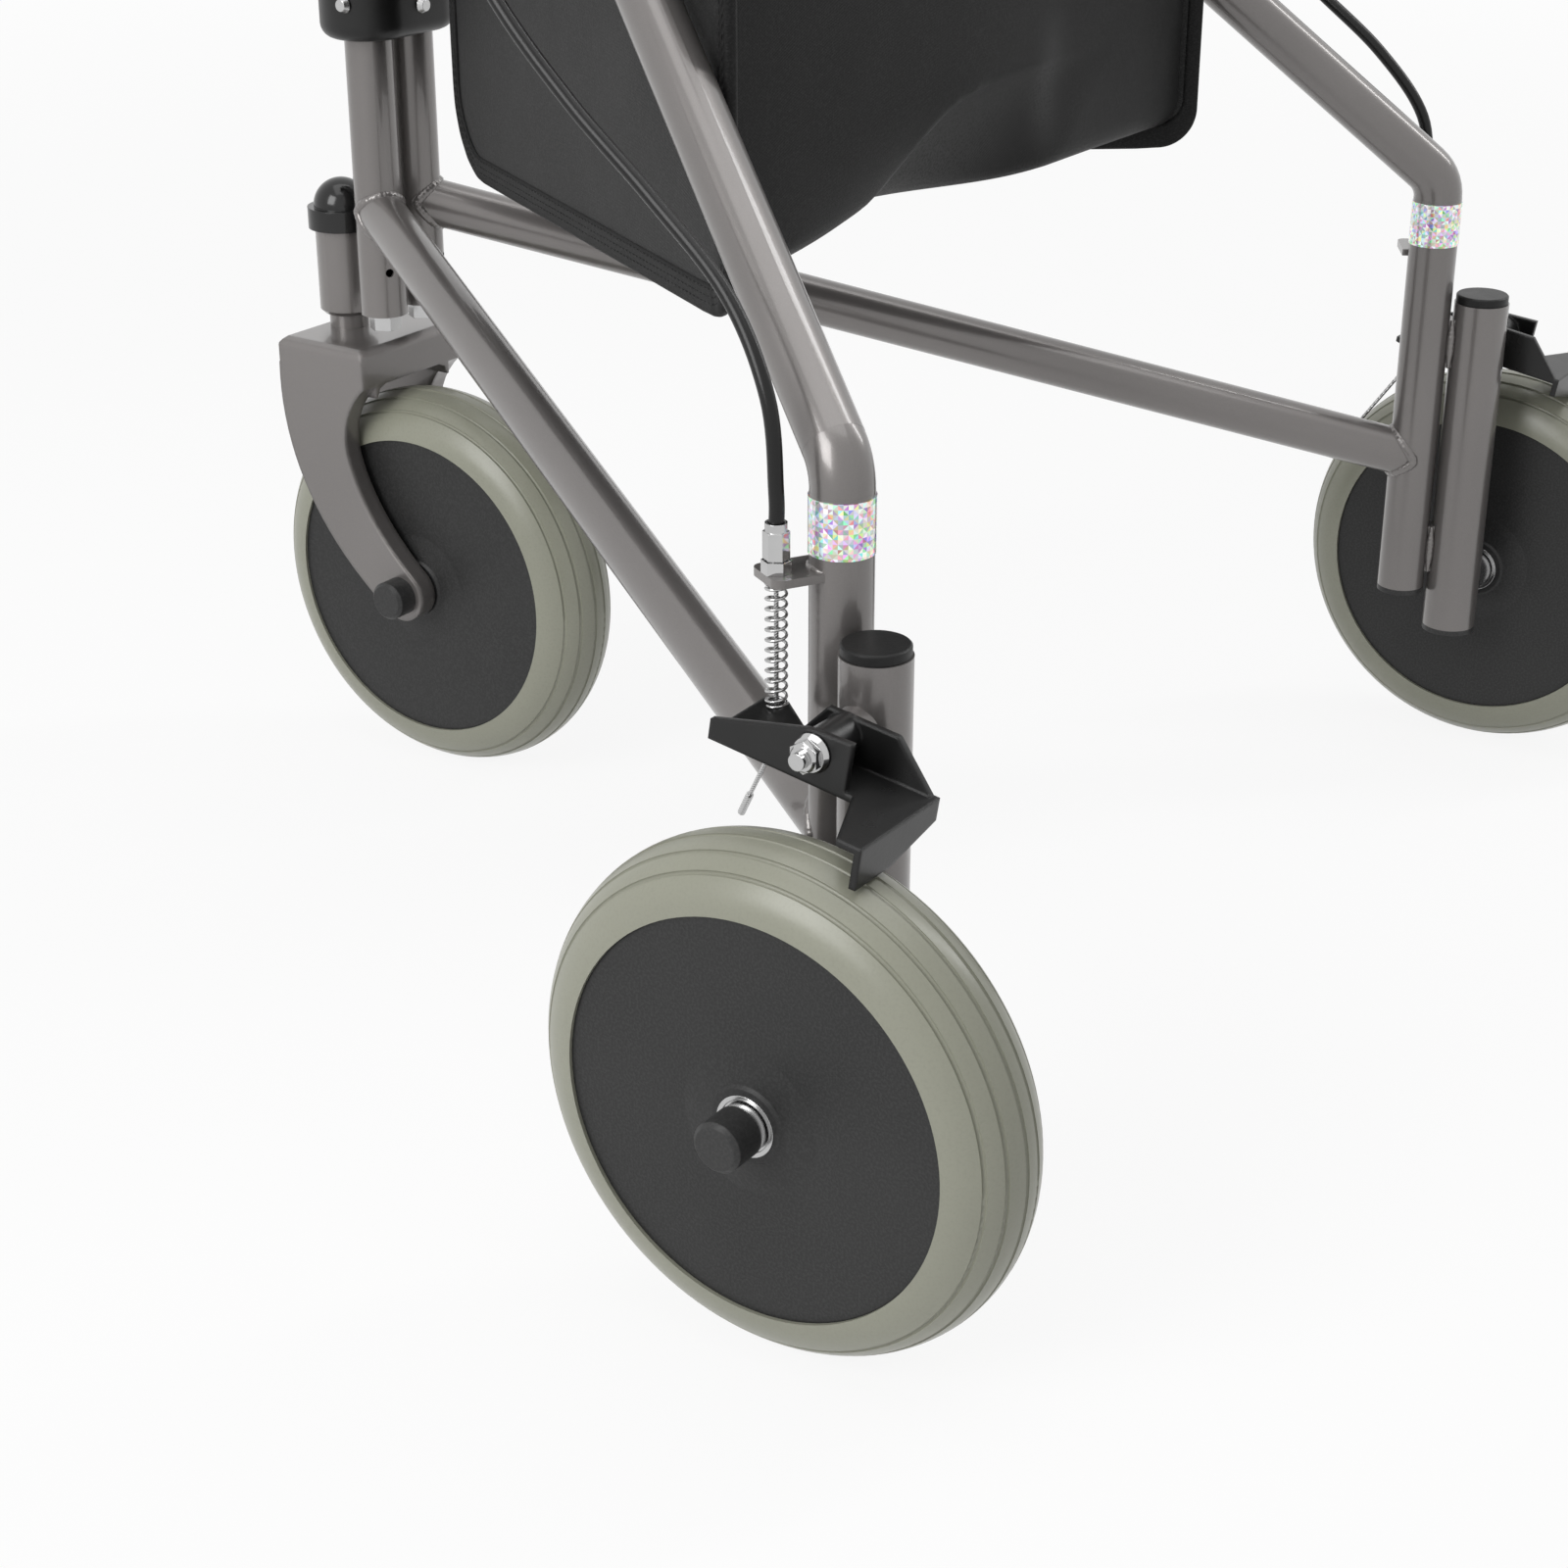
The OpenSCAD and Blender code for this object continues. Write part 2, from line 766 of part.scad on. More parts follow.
// Side frame pieces, drawn for the user's left side
module front_tube_shape() {
    on_side()
        difference() {
            translate([0, 0, front_tube_bottom])
                rod(tube_r, front_tube_top - front_tube_bottom);
            translate([0, 0, front_tube_bottom + 8])
                rod(handle_d / 2 + run_clear, front_tube_top - front_tube_bottom);
            translate([0, 0, front_tube_bottom + 21.5])
                rotate([0, 90, 0])
                    rod(vent_d / 2, tube_r + 1);
            translate([0, 0, front_tube_bottom - 1])
                rod(4, 10);
            translate([0, 0, knob_z])
                rotate([90, 0, 0])
                    rod(4 + run_clear, tube_r + 20);
        }
    on_side()
        translate([0, 0, knob_z])
            rotate([90, 0, 0])
                difference() {
                    rod(8, tube_r + 5);
                    translate([0, 0, -1])
                        rod(4 + run_clear, tube_r + 7);
                    rotate([-90, 0, 0])
                        translate([0, 0, -20])
                            rod(tube_r, 40);
                }
}

// Bend of a round tube, from the X axis through angle a, lapped into the straight runs at its ends
module bend(radius, r, a) {
    lap = 1;
    rotate([0, 0, -lap])
        rotate_extrude(angle = a + 2 * lap)
            translate([radius, 0])
                circle(r = r - bend_draw);
}

module main_tube_solid(r, extra) {
    foot = slope_foot_z - bend_in;
    start = [run_rear - bend_in * cos(slope), slope_foot_z + bend_in * sin(slope)];
    translate([run_rear, 0, rear_leg_bottom - extra])
        rod(r, foot - rear_leg_bottom + extra);
    translate([run_rear - bend_r, 0, foot])
        rotate([90, 0, 0])
            bend(bend_r, r, 90 - slope);
    translate([start[0], 0, start[1]])
        rotate([0, slope - 90, 0])
            rod(r, run_rear / cos(slope) - bend_in);
}

module front_bore(r) {
    translate([0, 0, front_tube_bottom - tube_d])
        rod(r, slope_top_z - front_tube_bottom + 4 * tube_d);
}

module main_tube_shape() {
    on_side()
        difference() {
            union() {
                main_tube_solid(tube_r, 0);
                cable_stop();
            }
            main_tube_solid(tube_r - tube_wall, 1);
            front_bore(tube_r + cope_gap);
        }
}

// Flat tab that carries the cable's adjuster
module cable_stop() {
    hw = 9.5;
    translate([spring_run - 1, 0, stop_z])
        difference() {
            union() {
                translate([-hw, -stop_off - 1, 0])
                    cube([2 * hw, stop_off + 1 - 6, stop_t]);
                translate([-hw + 3.5, -stop_off - 4.5, 0])
                    cube([2 * hw - 7, 5, stop_t]);
                for (s = [-1, 1])
                    translate([s * (hw - 3.5), -stop_off - 1, 0])
                        rod(3.5, stop_t);
            }
            translate([1, -stop_off, -1])
                rod(3, stop_t + 2);
        }
}

module lower_rail_shape() {
    on_side()
        difference() {
            tube_between(0, rail_front_z, run_rear, rail_rear_z, rail_d / 2);
            tube_between(-20, rail_front_z + 20 * (rail_front_z - rail_rear_z) / run_rear, run_rear + 20,
                rail_rear_z - 20 * (rail_front_z - rail_rear_z) / run_rear, rail_d / 2 - tube_wall);
            front_bore(tube_r);
            translate([run_rear, 0, 0])
                rod(tube_r, slope_foot_z);
        }
}

module axle_tube_shape() {
    difference() {
        union() {
            pivot_boss();
            axle_tube_welded();
        }
        on_side()
            translate([run_axle, 0, axle_tube_bottom - 1])
                rod(axle_tube_r - tube_bore_wall, axle_tube_top - axle_tube_bottom + 2);
        along_x(axle_x, rear_y, wheel_r)
            rod(axle_d / 2, axle_tube_d);
        along_x(axle_x - 1, rear_y, pivot_z)
            rod(pivot_d / 2, axle_tube_d);
    }
}

// Welded collar that carries the brake's pivot bolt
module pivot_boss() {
    along_x(axle_x, rear_y, pivot_z)
        cylinder(r1 = boss_d / 2 + 3, r2 = boss_d / 2, h = axle_tube_r + arm_gap - side_clear);
}

module axle_tube_welded() {
    on_side()
        union() {
            translate([run_axle, 0, axle_tube_bottom])
                rod(axle_tube_r, axle_tube_top - axle_tube_bottom);
            for (z = [rear_leg_bottom + 8, axle_tube_top - 8 - weld_h])
                difference() {
                    translate([run_rear + tube_r - 3, -4, z])
                        cube([weld_gap + 6, 8, weld_h]);
                    translate([run_rear, 0, z - 1])
                        rod(tube_r, weld_h + 2);
                }
        }
}

module reflector_shape() {
    on_side()
        translate([run_rear, 0, reflector_z])
            difference() {
                rod(tube_r + 0.4, min(reflector_h, slope_foot_z - bend_in - reflector_z));
                translate([0, 0, -1])
                    rod(tube_r, reflector_h + 2);
            }
}

module plastic_caps_shape() {
    on_side() {
        translate([run_axle, 0, axle_tube_top]) {
            rod(axle_tube_r - 0.6, tube_cap_t - 0.6);
            translate([0, 0, tube_cap_t - 0.6])
                cylinder(r1 = axle_tube_r - 0.6, r2 = axle_tube_r - 1.2, h = 0.6);
            translate([0, 0, -8])
                rod(axle_tube_r - tube_bore_wall, 8 + e);
        }
        translate([run_axle, 0, axle_tube_bottom - 2.5]) {
            rod(axle_tube_r, 2.5);
            rod(axle_tube_r - tube_bore_wall, 10);
        }
        translate([run_rear, 0, rear_leg_bottom - 2.5]) {
            rod(tube_r, 2.5);
            rod(tube_r - tube_wall, 9);
        }
        translate([0, 0, front_tube_top])
            difference() {
                rod(tube_r + 2, 6);
                translate([0, 0, -1])
                    rod(handle_d / 2 + run_clear, 8);
            }
    }
    along_x(wheel_x + hub_w / 2 + side_clear + 3, rear_y, wheel_r)
        difference() {
            cap_shape(axle_cap_len);
            translate([0, 0, -1])
                rod(axle_d / 2, 9);
        }
}

module foot_bolt_shape() {
    on_side() {
        translate([0, 0, front_tube_bottom - 7.5])
            hex_rod(13, 7.5);
        translate([0, 0, front_tube_bottom - 1])
            rod(4, 9);
    }
}

module rear_axle_shape() {
    x0 = axle_x - axle_tube_r / 2;
    x1 = axle_x + axle_tube_r;
    xin = wheel_x - hub_w / 2 - side_clear;
    xout = wheel_x + hub_w / 2 + side_clear;
    along_x(x0, rear_y, wheel_r)
        rod(axle_d / 2, xout + 3 + 8 - x0);
    difference() {
        along_x(x1 - 3, rear_y, wheel_r)
            rod(spacer_d / 2, xin - x1 + 3);
        translate([axle_x, rear_y, wheel_r - 30])
            rod(axle_tube_r, 60);
    }
    along_x(xout, rear_y, wheel_r)
        rod(axle_cap_d / 2 - 0.4, 3);
}

module cable_adjuster_shape() {
    on_side()
        translate([spring_run, -stop_off, stop_z])
            difference() {
                union() {
                    rod(3, stop_t + adjuster_h);
                    translate([0, 0, stop_t])
                        hex_rod(9, 4.5);
                    translate([0, 0, stop_t + 5])
                        hex_rod(8, adjuster_h - 8);
                    translate([0, 0, stop_t + adjuster_h - 3 - e])
                        rod(3.8, 3 + e);
                }
                translate([0, 0, -1])
                    rod(wire_d / 2 + 0.2, stop_t + adjuster_h + 2);
                translate([0, 0, stop_t + adjuster_h - cable_seat])
                    rod(cable_d / 2 + cable_clear, cable_seat + 1);
            }
}

// The cable's route, as run from the front tube, distance outboard of the frame plane, and height
cable_base = stop_z + stop_t + adjuster_h - cable_seat + cable_clear;
cable_pts = [
    [spring_run, stop_off, cable_base], [spring_run, stop_off, cable_base + 12],
    [472, 24, 318], [450, 28, 347], [419, 41, 374], [390, 57, 401],
    [362, 72, 433], [332, 83, 474], [300, 88, 524], [268, 87, 582],
    [240, 80, 644], [214, 68, 706], [194, 52, 762], [182, 34, 806], [182, 17, 838], [194, 5, 858]
];
cable_end = handle_at(housing_s + 4, -21);
function handle_at(s, h) = [
    handle_s0[0] + s * cos(handle_rise) - h * sin(handle_rise),
    handle_s0[1] + s * sin(handle_rise) + h * cos(handle_rise)
];
cable_tail = handle_at(housing_s - 20, -21);
cable_mid = handle_at(housing_s - 8, -21);
cable_all = concat(
    [for (p = cable_pts) [p[0], -p[1], p[2]]],
    [for (q = [cable_tail, cable_mid, cable_end]) [q[0], 0, q[1]]]
);
cable_split = 4;

function spline(p, i, t) =
    let (
        n = len(p),
        a = p[max(i - 1, 0)],
        b = p[i],
        c = p[i + 1],
        d = p[min(i + 2, n - 1)]
    )
    0.5 * (2 * b + t * (c - a) + t * t * (2 * a - 5 * b + 4 * c - d) + t * t * t * (3 * b - a - 3 * c + d));

function smooth(p, k) = concat(
    [for (i = [0 : len(p) - 2]) for (j = [0 : k - 1]) spline(p, i, j / k)],
    [p[len(p) - 1]]
);

function unit(v) = v / norm(v);
function step_dir(p, i) = unit(p[min(i + 1, len(p) - 1)] - p[max(i - 1, 0)]);

// One closed tube of sides flats through the points, carried round without twist
function frames(p) = [
    for (
        i = 0, n = unit(cross(step_dir(p, 0), [0.3, 1, 0.2]));
        i < len(p);
        i = i + 1,
        n = i < len(p) ? unit(n - (n * step_dir(p, i)) * step_dir(p, i)) : n
    ) n
];

module swept_tube(p, r, sides) {
    ns = frames(p);
    rings = [
        for (i = [0 : len(p) - 1])
            let (n = ns[i], b = cross(step_dir(p, i), n))
                for (j = [0 : sides - 1])
                    p[i] + r * (n * cos(360 * j / sides) + b * sin(360 * j / sides))
    ];
    last = (len(p) - 1) * sides;
    walls = [
        for (i = [0 : len(p) - 2])
            for (j = [0 : sides - 1])
                let (k = (j + 1) % sides)
                    [i * sides + j, i * sides + k, (i + 1) * sides + k, (i + 1) * sides + j]
    ];
    caps = [for (j = [1 : sides - 2]) [0, j + 1, j]];
    polyhedron(
        points = rings,
        faces = concat(
            caps,
            [for (w = walls) [w[0], w[1], w[2]]],
            [for (w = walls) [w[0], w[2], w[3]]],
            [for (c = caps) [last + c[0], last + c[2], last + c[1]]]
        ),
        convexity = 10
    );
}

module brake_cable_shape() {
    on_side()
        swept_tube(smooth(cable_all, cable_split), cable_d / 2 - 0.05, 10);
}

// Heights where the spring stands on the arm and where the wire leaves it
seat_drop = (web_drop - arm_t) / cos(arm_tilt);
seat_z = pivot_z - seat_drop - (spring_y - rear_y) * tan(arm_tilt);

module brake_wire_shape() {
    foot = seat_z - wire_drop;
    on_side() {
        translate([spring_run, -stop_off, foot])
            rod(wire_d / 2, cable_base - cable_clear - 1 - foot);
        translate([spring_run - wire_bend_r, -stop_off, foot])
            rotate([-90, 0, 0])
                bend(wire_bend_r, wire_d / 2, wire_bend);
        translate([spring_run - wire_bend_r, -stop_off, foot])
            rotate([0, wire_bend, 0])
                translate([wire_bend_r, 0, -wire_tail]) {
                    rod(wire_d / 2, wire_tail);
                    rod(ferrule_d / 2, ferrule_len);
                }
    }
}

// Return spring: one unbroken tube with closed, flattened ends
spring_r = (spring_d - spring_wire) / 2;
spring_bottom = seat_z + spring_wire / 2 + 0.3;
spring_height = stop_z - spring_wire / 2 - 0.15 - spring_bottom;
spring_steps = 8;
spring_pitch = (spring_height - 2 * spring_wire * 1.5) / (spring_coils - 2);

function spring_z(q) =
    q < 1 ? q * spring_wire * 1.5 :
    q > spring_coils - 1 ? spring_height - (spring_coils - q) * spring_wire * 1.5 :
    spring_wire * 1.5 + (q - 1) * spring_pitch;
function spring_pt(q) = [spring_r * cos(360 * q), spring_r * sin(360 * q), spring_bottom + spring_z(q)];
spring_line = [for (i = [0 : spring_coils * spring_steps]) spring_pt(i / spring_steps)];
spring_out = concat(
    [spring_line[0] + unit(spring_line[0] - spring_line[1]) * spring_wire],
    spring_line,
    [spring_line[len(spring_line) - 1]
        + unit(spring_line[len(spring_line) - 1] - spring_line[len(spring_line) - 2]) * spring_wire]
);
spring_gap = min([
    for (i = [0 : len(spring_out) - 6])
        for (j = [i + 5 : min(i + 2 * spring_steps, len(spring_out) - 1)])
            norm(spring_out[i] - spring_out[j])
]) - spring_wire;
echo(spring_gap = spring_gap);

module brake_spring_shape() {
    on_side()
        translate([spring_run, -stop_off, 0])
            swept_tube(spring_out, spring_wire / 2, 6);
}

module brake_pivot_bolt_shape() {
    along_x(axle_x, rear_y, pivot_z)
        rod(pivot_d / 2, arm_x1 + side_clear + nut_h + 3 - axle_x);
    along_x(arm_x1 + side_clear, rear_y, pivot_z) {
        cylinder(r1 = nut_flats * 0.7, r2 = nut_flats * 0.6, h = 2);
        hex_rod(nut_flats, nut_h - 1);
        translate([0, 0, nut_h - 1 - e])
            cylinder(r1 = nut_flats * 0.5, r2 = nut_flats * 0.42, h = 1 + e);
    }
}

// Brake arm: one pressed sheet, drawn about its pivot with the web level
module in_arm() {
    translate([0, rear_y, pivot_z])
        rotate([-arm_tilt, 0, 0])
            children();
}

module arm_plate(x, pts) {
    translate([x, 0, 0])
        rotate([90, 0, 90])
            linear_extrude(arm_t)
                polygon(pts);
}

module brake_arm_shape() {
    seat_x = spring_x;
    seat_y = (spring_y - rear_y) / cos(arm_tilt) + seat_drop * sin(arm_tilt);
    shoe_x = wheel_x + shoe_reach;
    shoe_y = 37.5;
    low = -24;
    difference() {
        union() {
            in_arm() {
                arm_plate(arm_x1 - arm_t, [
                    [-40, -web_drop], [-40, -4], [-3, 7.6], [14, 8.6], [14, -web_drop]
                ]);
                arm_plate(arm_x0, [
                    [-15, -web_drop], [-15, -3.5], [-7.5, 6.8], [20, 6.8], [shoe_y, -web_drop]
                ]);
                translate([0, 0, -web_drop])
                    linear_extrude(arm_t)
                        polygon([
                            [arm_x1, -40], [seat_x - 2, -41], [seat_x - 6, seat_y + 1], [arm_x0, -12],
                            [arm_x0, shoe_y], [shoe_x, shoe_y], [shoe_x, 28], [arm_x1, 17]
                        ]);
                translate([0, shoe_y, 0])
                    rotate([90, 0, 0])
                        linear_extrude(arm_t)
                            polygon([
                                [arm_x0, -web_drop + arm_t], [arm_x0, -web_drop - 6], [arm_x0 + 26, low],
                                [shoe_x, low], [shoe_x, -web_drop + arm_t]
                            ]);
            }
            along_x(arm_x0, rear_y, pivot_z)
                rod(7, arm_w);
        }
        along_x(arm_x0 - 1, rear_y, pivot_z)
            rod(pivot_d / 2 + run_clear, arm_w + 2);
        translate([spring_x, spring_y, seat_z - 20])
            rod(wire_d / 2 + 0.9, 40);
    }
}

// Handle pieces
module handle_solid(r, extra) {
    translate([0, 0, handle_bottom - extra])
        rod(r, handle_bend_z - handle_bottom + extra);
    translate([handle_bend_r, 0, handle_bend_z])
        rotate([90, 0, 180])
            bend(handle_bend_r, r, 90 - handle_rise);
    on_handle(0)
        rotate([0, 90, 0])
            rod(r, handle_len - 3 + extra);
}

module handle_tube_shape() {
    on_side()
        difference() {
            handle_solid(handle_d / 2, 0);
            handle_solid(handle_d / 2 - tube_wall, 1);
        }
}

module hand_grip_shape() {
    r = grip_d / 2;
    on_side()
        on_handle(handle_len - grip_len)
            rotate([0, 90, 0])
                difference() {
                    rotate_extrude()
                        polygon([
                            [0, 0], [r + 2, 0], [r + 2, 4], [r - 1, 7], [r, 25], [r + 0.6, 50],
                            [r - 0.5, 80], [r + 0.5, grip_len - 14], [r + 2, grip_len - 8],
                            [r + 1, grip_len - 2], [r - 1, grip_len], [0, grip_len]
                        ]);
                    translate([0, 0, -1])
                        rod(handle_d / 2, grip_len - 2);
                }
}

module lever_housing_shape() {
    on_side()
        on_handle(housing_s)
            difference() {
                union() {
                    rotate([0, 90, 0])
                        rod(housing_w / 2, housing_len);
                    translate([0, -housing_w / 2, -loop_drop + 4])
                        cube([housing_len, housing_w, loop_drop - 4]);
                    translate([lever_s - housing_s, housing_w / 2, -loop_drop + 6])
                        rotate([90, 0, 0])
                            rod(9, housing_w);
                }
                translate([-1, 0, 0])
                    rotate([0, 90, 0])
                        rod(handle_d / 2, housing_len + 2);
                translate([14, -loop_rod_d / 2 - side_clear - 1, -loop_drop - 12])
                    cube([housing_len, loop_rod_d + 2 * side_clear + 2, loop_drop - 6]);
                translate([-1, 0, -21])
                    rotate([0, 90, 0])
                        rod(cable_d / 2 + cable_clear, 6);
                translate([lever_s - housing_s, housing_w, -loop_drop + 6])
                    rotate([90, 0, 0])
                        rod(3 + run_clear, 2 * housing_w);
            }
}

module brake_lever_shape() {
    r = loop_rod_d / 2;
    on_side()
        on_handle(lever_s)
            translate([0, 0, -loop_drop + 6]) {
                difference() {
                    union() {
                        rotate([90, 0, 0])
                            translate([0, 0, -r - 1])
                                rod(7, 2 * r + 2);
                        rotate([0, 90, 0])
                            translate([2, 0, 0])
                                rod(r, 30);
                    }
                    rotate([90, 0, 0])
                        translate([0, 0, -10])
                            rod(2.5, 20);
                }
                rotate([90, 0, 0])
                    translate([0, 0, -housing_w / 2])
                        rod(3, housing_w);
                translate([28, 0, -8]) {
                    for (z = [0, -loop_h])
                        translate([0, 0, z])
                            rotate([0, 90, 0])
                                rod(r, loop_len);
                    for (s = [0, 1])
                        translate([s * loop_len, 0, -loop_h / 2])
                            rotate([90, 0, 0])
                                rotate([0, 0, s == 0 ? 90 : -90])
                                    rotate_extrude(angle = 180)
                                        translate([loop_h / 2, 0])
                                            circle(r = r);
                }
            }
}

module height_knob_shape() {
    on_side()
        translate([0, 0, knob_z])
            rotate([90, 0, 0]) {
                translate([0, 0, handle_d / 2 + run_clear + 0.3])
                    rod(4, 20);
                translate([0, 0, tube_r + 5 + side_clear])
                    knob_head(neck_d / 2);
            }
}

// The pieces of each side: the right one mirrors the left one
module left_front_tube() {
    color(frame_paint)
        front_tube_shape();
}

module right_front_tube() {
    color(frame_paint)
        mirror([1, 0, 0])
            front_tube_shape();
}

module left_main_tube() {
    color(frame_paint)
        main_tube_shape();
}

module right_main_tube() {
    color(frame_paint)
        mirror([1, 0, 0])
            main_tube_shape();
}

module left_lower_rail() {
    color(frame_paint)
        lower_rail_shape();
}

module right_lower_rail() {
    color(frame_paint)
        mirror([1, 0, 0])
            lower_rail_shape();
}

module left_axle_tube() {
    color(frame_paint)
        axle_tube_shape();
}

module right_axle_tube() {
    color(frame_paint)
        mirror([1, 0, 0])
            axle_tube_shape();
}

module left_reflector() {
    color(band_silver)
        reflector_shape();
}

module right_reflector() {
    color(band_silver)
        mirror([1, 0, 0])
            reflector_shape();
}

module left_plastic_caps() {
    color(black)
        plastic_caps_shape();
}

module right_plastic_caps() {
    color(black)
        mirror([1, 0, 0])
            plastic_caps_shape();
}

module left_foot_bolt() {
    color(steel)
        foot_bolt_shape();
}

module right_foot_bolt() {
    color(steel)
        mirror([1, 0, 0])
            foot_bolt_shape();
}

module left_rear_axle() {
    color(steel)
        rear_axle_shape();
}

module right_rear_axle() {
    color(steel)
        mirror([1, 0, 0])
            rear_axle_shape();
}

module left_cable_adjuster() {
    color(steel)
        cable_adjuster_shape();
}

module right_cable_adjuster() {
    color(steel)
        mirror([1, 0, 0])
            cable_adjuster_shape();
}

module left_brake_cable() {
    color(black)
        brake_cable_shape();
}

module right_brake_cable() {
    color(black)
        mirror([1, 0, 0])
            brake_cable_shape();
}

module left_brake_wire() {
    color(steel)
        brake_wire_shape();
}

module right_brake_wire() {
    color(steel)
        mirror([1, 0, 0])
            brake_wire_shape();
}

module left_brake_spring() {
    color(steel)
        brake_spring_shape();
}

module right_brake_spring() {
    color(steel)
        mirror([1, 0, 0])
            brake_spring_shape();
}

module left_brake_pivot_bolt() {
    color(steel)
        brake_pivot_bolt_shape();
}

module right_brake_pivot_bolt() {
    color(steel)
        mirror([1, 0, 0])
            brake_pivot_bolt_shape();
}

module left_brake_arm() {
    color(black)
        brake_arm_shape();
}

module right_brake_arm() {
    color(black)
        mirror([1, 0, 0])
            brake_arm_shape();
}

module left_rear_tyre() {
    color(tyre_grey)
        at_rear_wheel()
            tyre_shape();
}

module right_rear_tyre() {
    color(tyre_grey)
        mirror([1, 0, 0])
            at_rear_wheel()
                tyre_shape();
}

module left_rear_wheel_disc() {
    color(disc_grey)
        at_rear_wheel()
            disc_shape();
}

module right_rear_wheel_disc() {
    color(disc_grey)
        mirror([1, 0, 0])
            at_rear_wheel()
                disc_shape();
}

module left_rear_wheel_bearings() {
    color(steel)
        at_rear_wheel()
            bearings_shape();
}

module right_rear_wheel_bearings() {
    color(steel)
        mirror([1, 0, 0])
            at_rear_wheel()
                bearings_shape();
}

module left_handle_tube() {
    color(frame_paint)
        handle_tube_shape();
}

module right_handle_tube() {
    color(frame_paint)
        mirror([1, 0, 0])
            handle_tube_shape();
}

module left_hand_grip() {
    color(black)
        hand_grip_shape();
}

module right_hand_grip() {
    color(black)
        mirror([1, 0, 0])
            hand_grip_shape();
}

module left_lever_housing() {
    color(black)
        lever_housing_shape();
}

module right_lever_housing() {
    color(black)
        mirror([1, 0, 0])
            lever_housing_shape();
}

module left_brake_lever() {
    color(black)
        brake_lever_shape();
}

module right_brake_lever() {
    color(black)
        mirror([1, 0, 0])
            brake_lever_shape();
}

module left_height_knob() {
    color(black)
        height_knob_shape();
}

module right_height_knob() {
    color(black)
        mirror([1, 0, 0])
            height_knob_shape();
}

head_bracket();
head_cap();
lower_hinge_block();
upper_hinge_block();
hinge_screws();
fold_clamp_knob();
front_fork();
fork_stem();
front_axle();
front_axle_caps();
front_tyre();
front_wheel_disc();
front_wheel_bearings();
bag();
left_front_tube();
left_main_tube();
left_lower_rail();
left_axle_tube();
left_reflector();
left_plastic_caps();
left_foot_bolt();
left_rear_axle();
left_cable_adjuster();
left_brake_cable();
left_brake_wire();
left_brake_spring();
left_brake_pivot_bolt();
left_brake_arm();
left_rear_tyre();
left_rear_wheel_disc();
left_rear_wheel_bearings();
left_handle_tube();
left_hand_grip();
left_lever_housing();
left_brake_lever();
left_height_knob();
right_front_tube();
right_main_tube();
right_lower_rail();
right_axle_tube();
right_reflector();
right_plastic_caps();
right_foot_bolt();
right_rear_axle();
right_cable_adjuster();
right_brake_cable();
right_brake_wire();
right_brake_spring();
right_brake_pivot_bolt();
right_brake_arm();
right_rear_tyre();
right_rear_wheel_disc();
right_rear_wheel_bearings();
right_handle_tube();
right_hand_grip();
right_lever_housing();
right_brake_lever();
right_height_knob();
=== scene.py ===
import json
import math

import bmesh
import bpy
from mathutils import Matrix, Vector, noise


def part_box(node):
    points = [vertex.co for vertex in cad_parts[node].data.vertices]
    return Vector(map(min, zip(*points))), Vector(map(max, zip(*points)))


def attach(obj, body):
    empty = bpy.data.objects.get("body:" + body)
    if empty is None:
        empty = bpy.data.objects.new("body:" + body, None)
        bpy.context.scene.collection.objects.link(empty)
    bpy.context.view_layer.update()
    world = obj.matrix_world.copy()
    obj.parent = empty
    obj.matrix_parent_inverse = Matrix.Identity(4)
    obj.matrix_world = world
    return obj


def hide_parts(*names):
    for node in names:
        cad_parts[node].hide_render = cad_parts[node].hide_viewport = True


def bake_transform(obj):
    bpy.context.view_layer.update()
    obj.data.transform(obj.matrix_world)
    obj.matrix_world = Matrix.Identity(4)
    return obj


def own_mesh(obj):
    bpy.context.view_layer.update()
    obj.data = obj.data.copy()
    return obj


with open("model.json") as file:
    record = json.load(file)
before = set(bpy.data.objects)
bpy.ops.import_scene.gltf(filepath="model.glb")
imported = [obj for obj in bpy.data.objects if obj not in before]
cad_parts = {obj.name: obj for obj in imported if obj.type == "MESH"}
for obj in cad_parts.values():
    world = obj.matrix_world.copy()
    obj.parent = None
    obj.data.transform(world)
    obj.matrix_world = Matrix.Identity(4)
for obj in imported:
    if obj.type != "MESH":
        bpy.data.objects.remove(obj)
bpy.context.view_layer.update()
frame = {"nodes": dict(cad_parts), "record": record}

scene = bpy.context.scene
scene.view_settings.view_transform = "Standard"

# Sizes shared with the construction, in metres
SPLAY = math.radians(30)
TUBE_R = 0.0111
FRONT_X, TUBE_Y = 0.01385, -0.227688
RUN_REAR = 0.4788
SLOPE_TOP_Z = 0.6873
SLOPE = math.radians(39.4)


def at(run, off, z, side=1):
    """A point of a side frame: along it, outboard of it, and up."""
    x = FRONT_X + run * math.sin(SPLAY) + off * math.cos(SPLAY)
    y = TUBE_Y + run * math.cos(SPLAY) - off * math.sin(SPLAY)
    return Vector((side * x, y, z))


def smooth_step(a, b, x):
    """0 below a, 1 above b, and an even rise between them."""
    t = min(max((x - a) / (b - a), 0.0), 1.0)
    return t * t * (3 - 2 * t)


# Materials


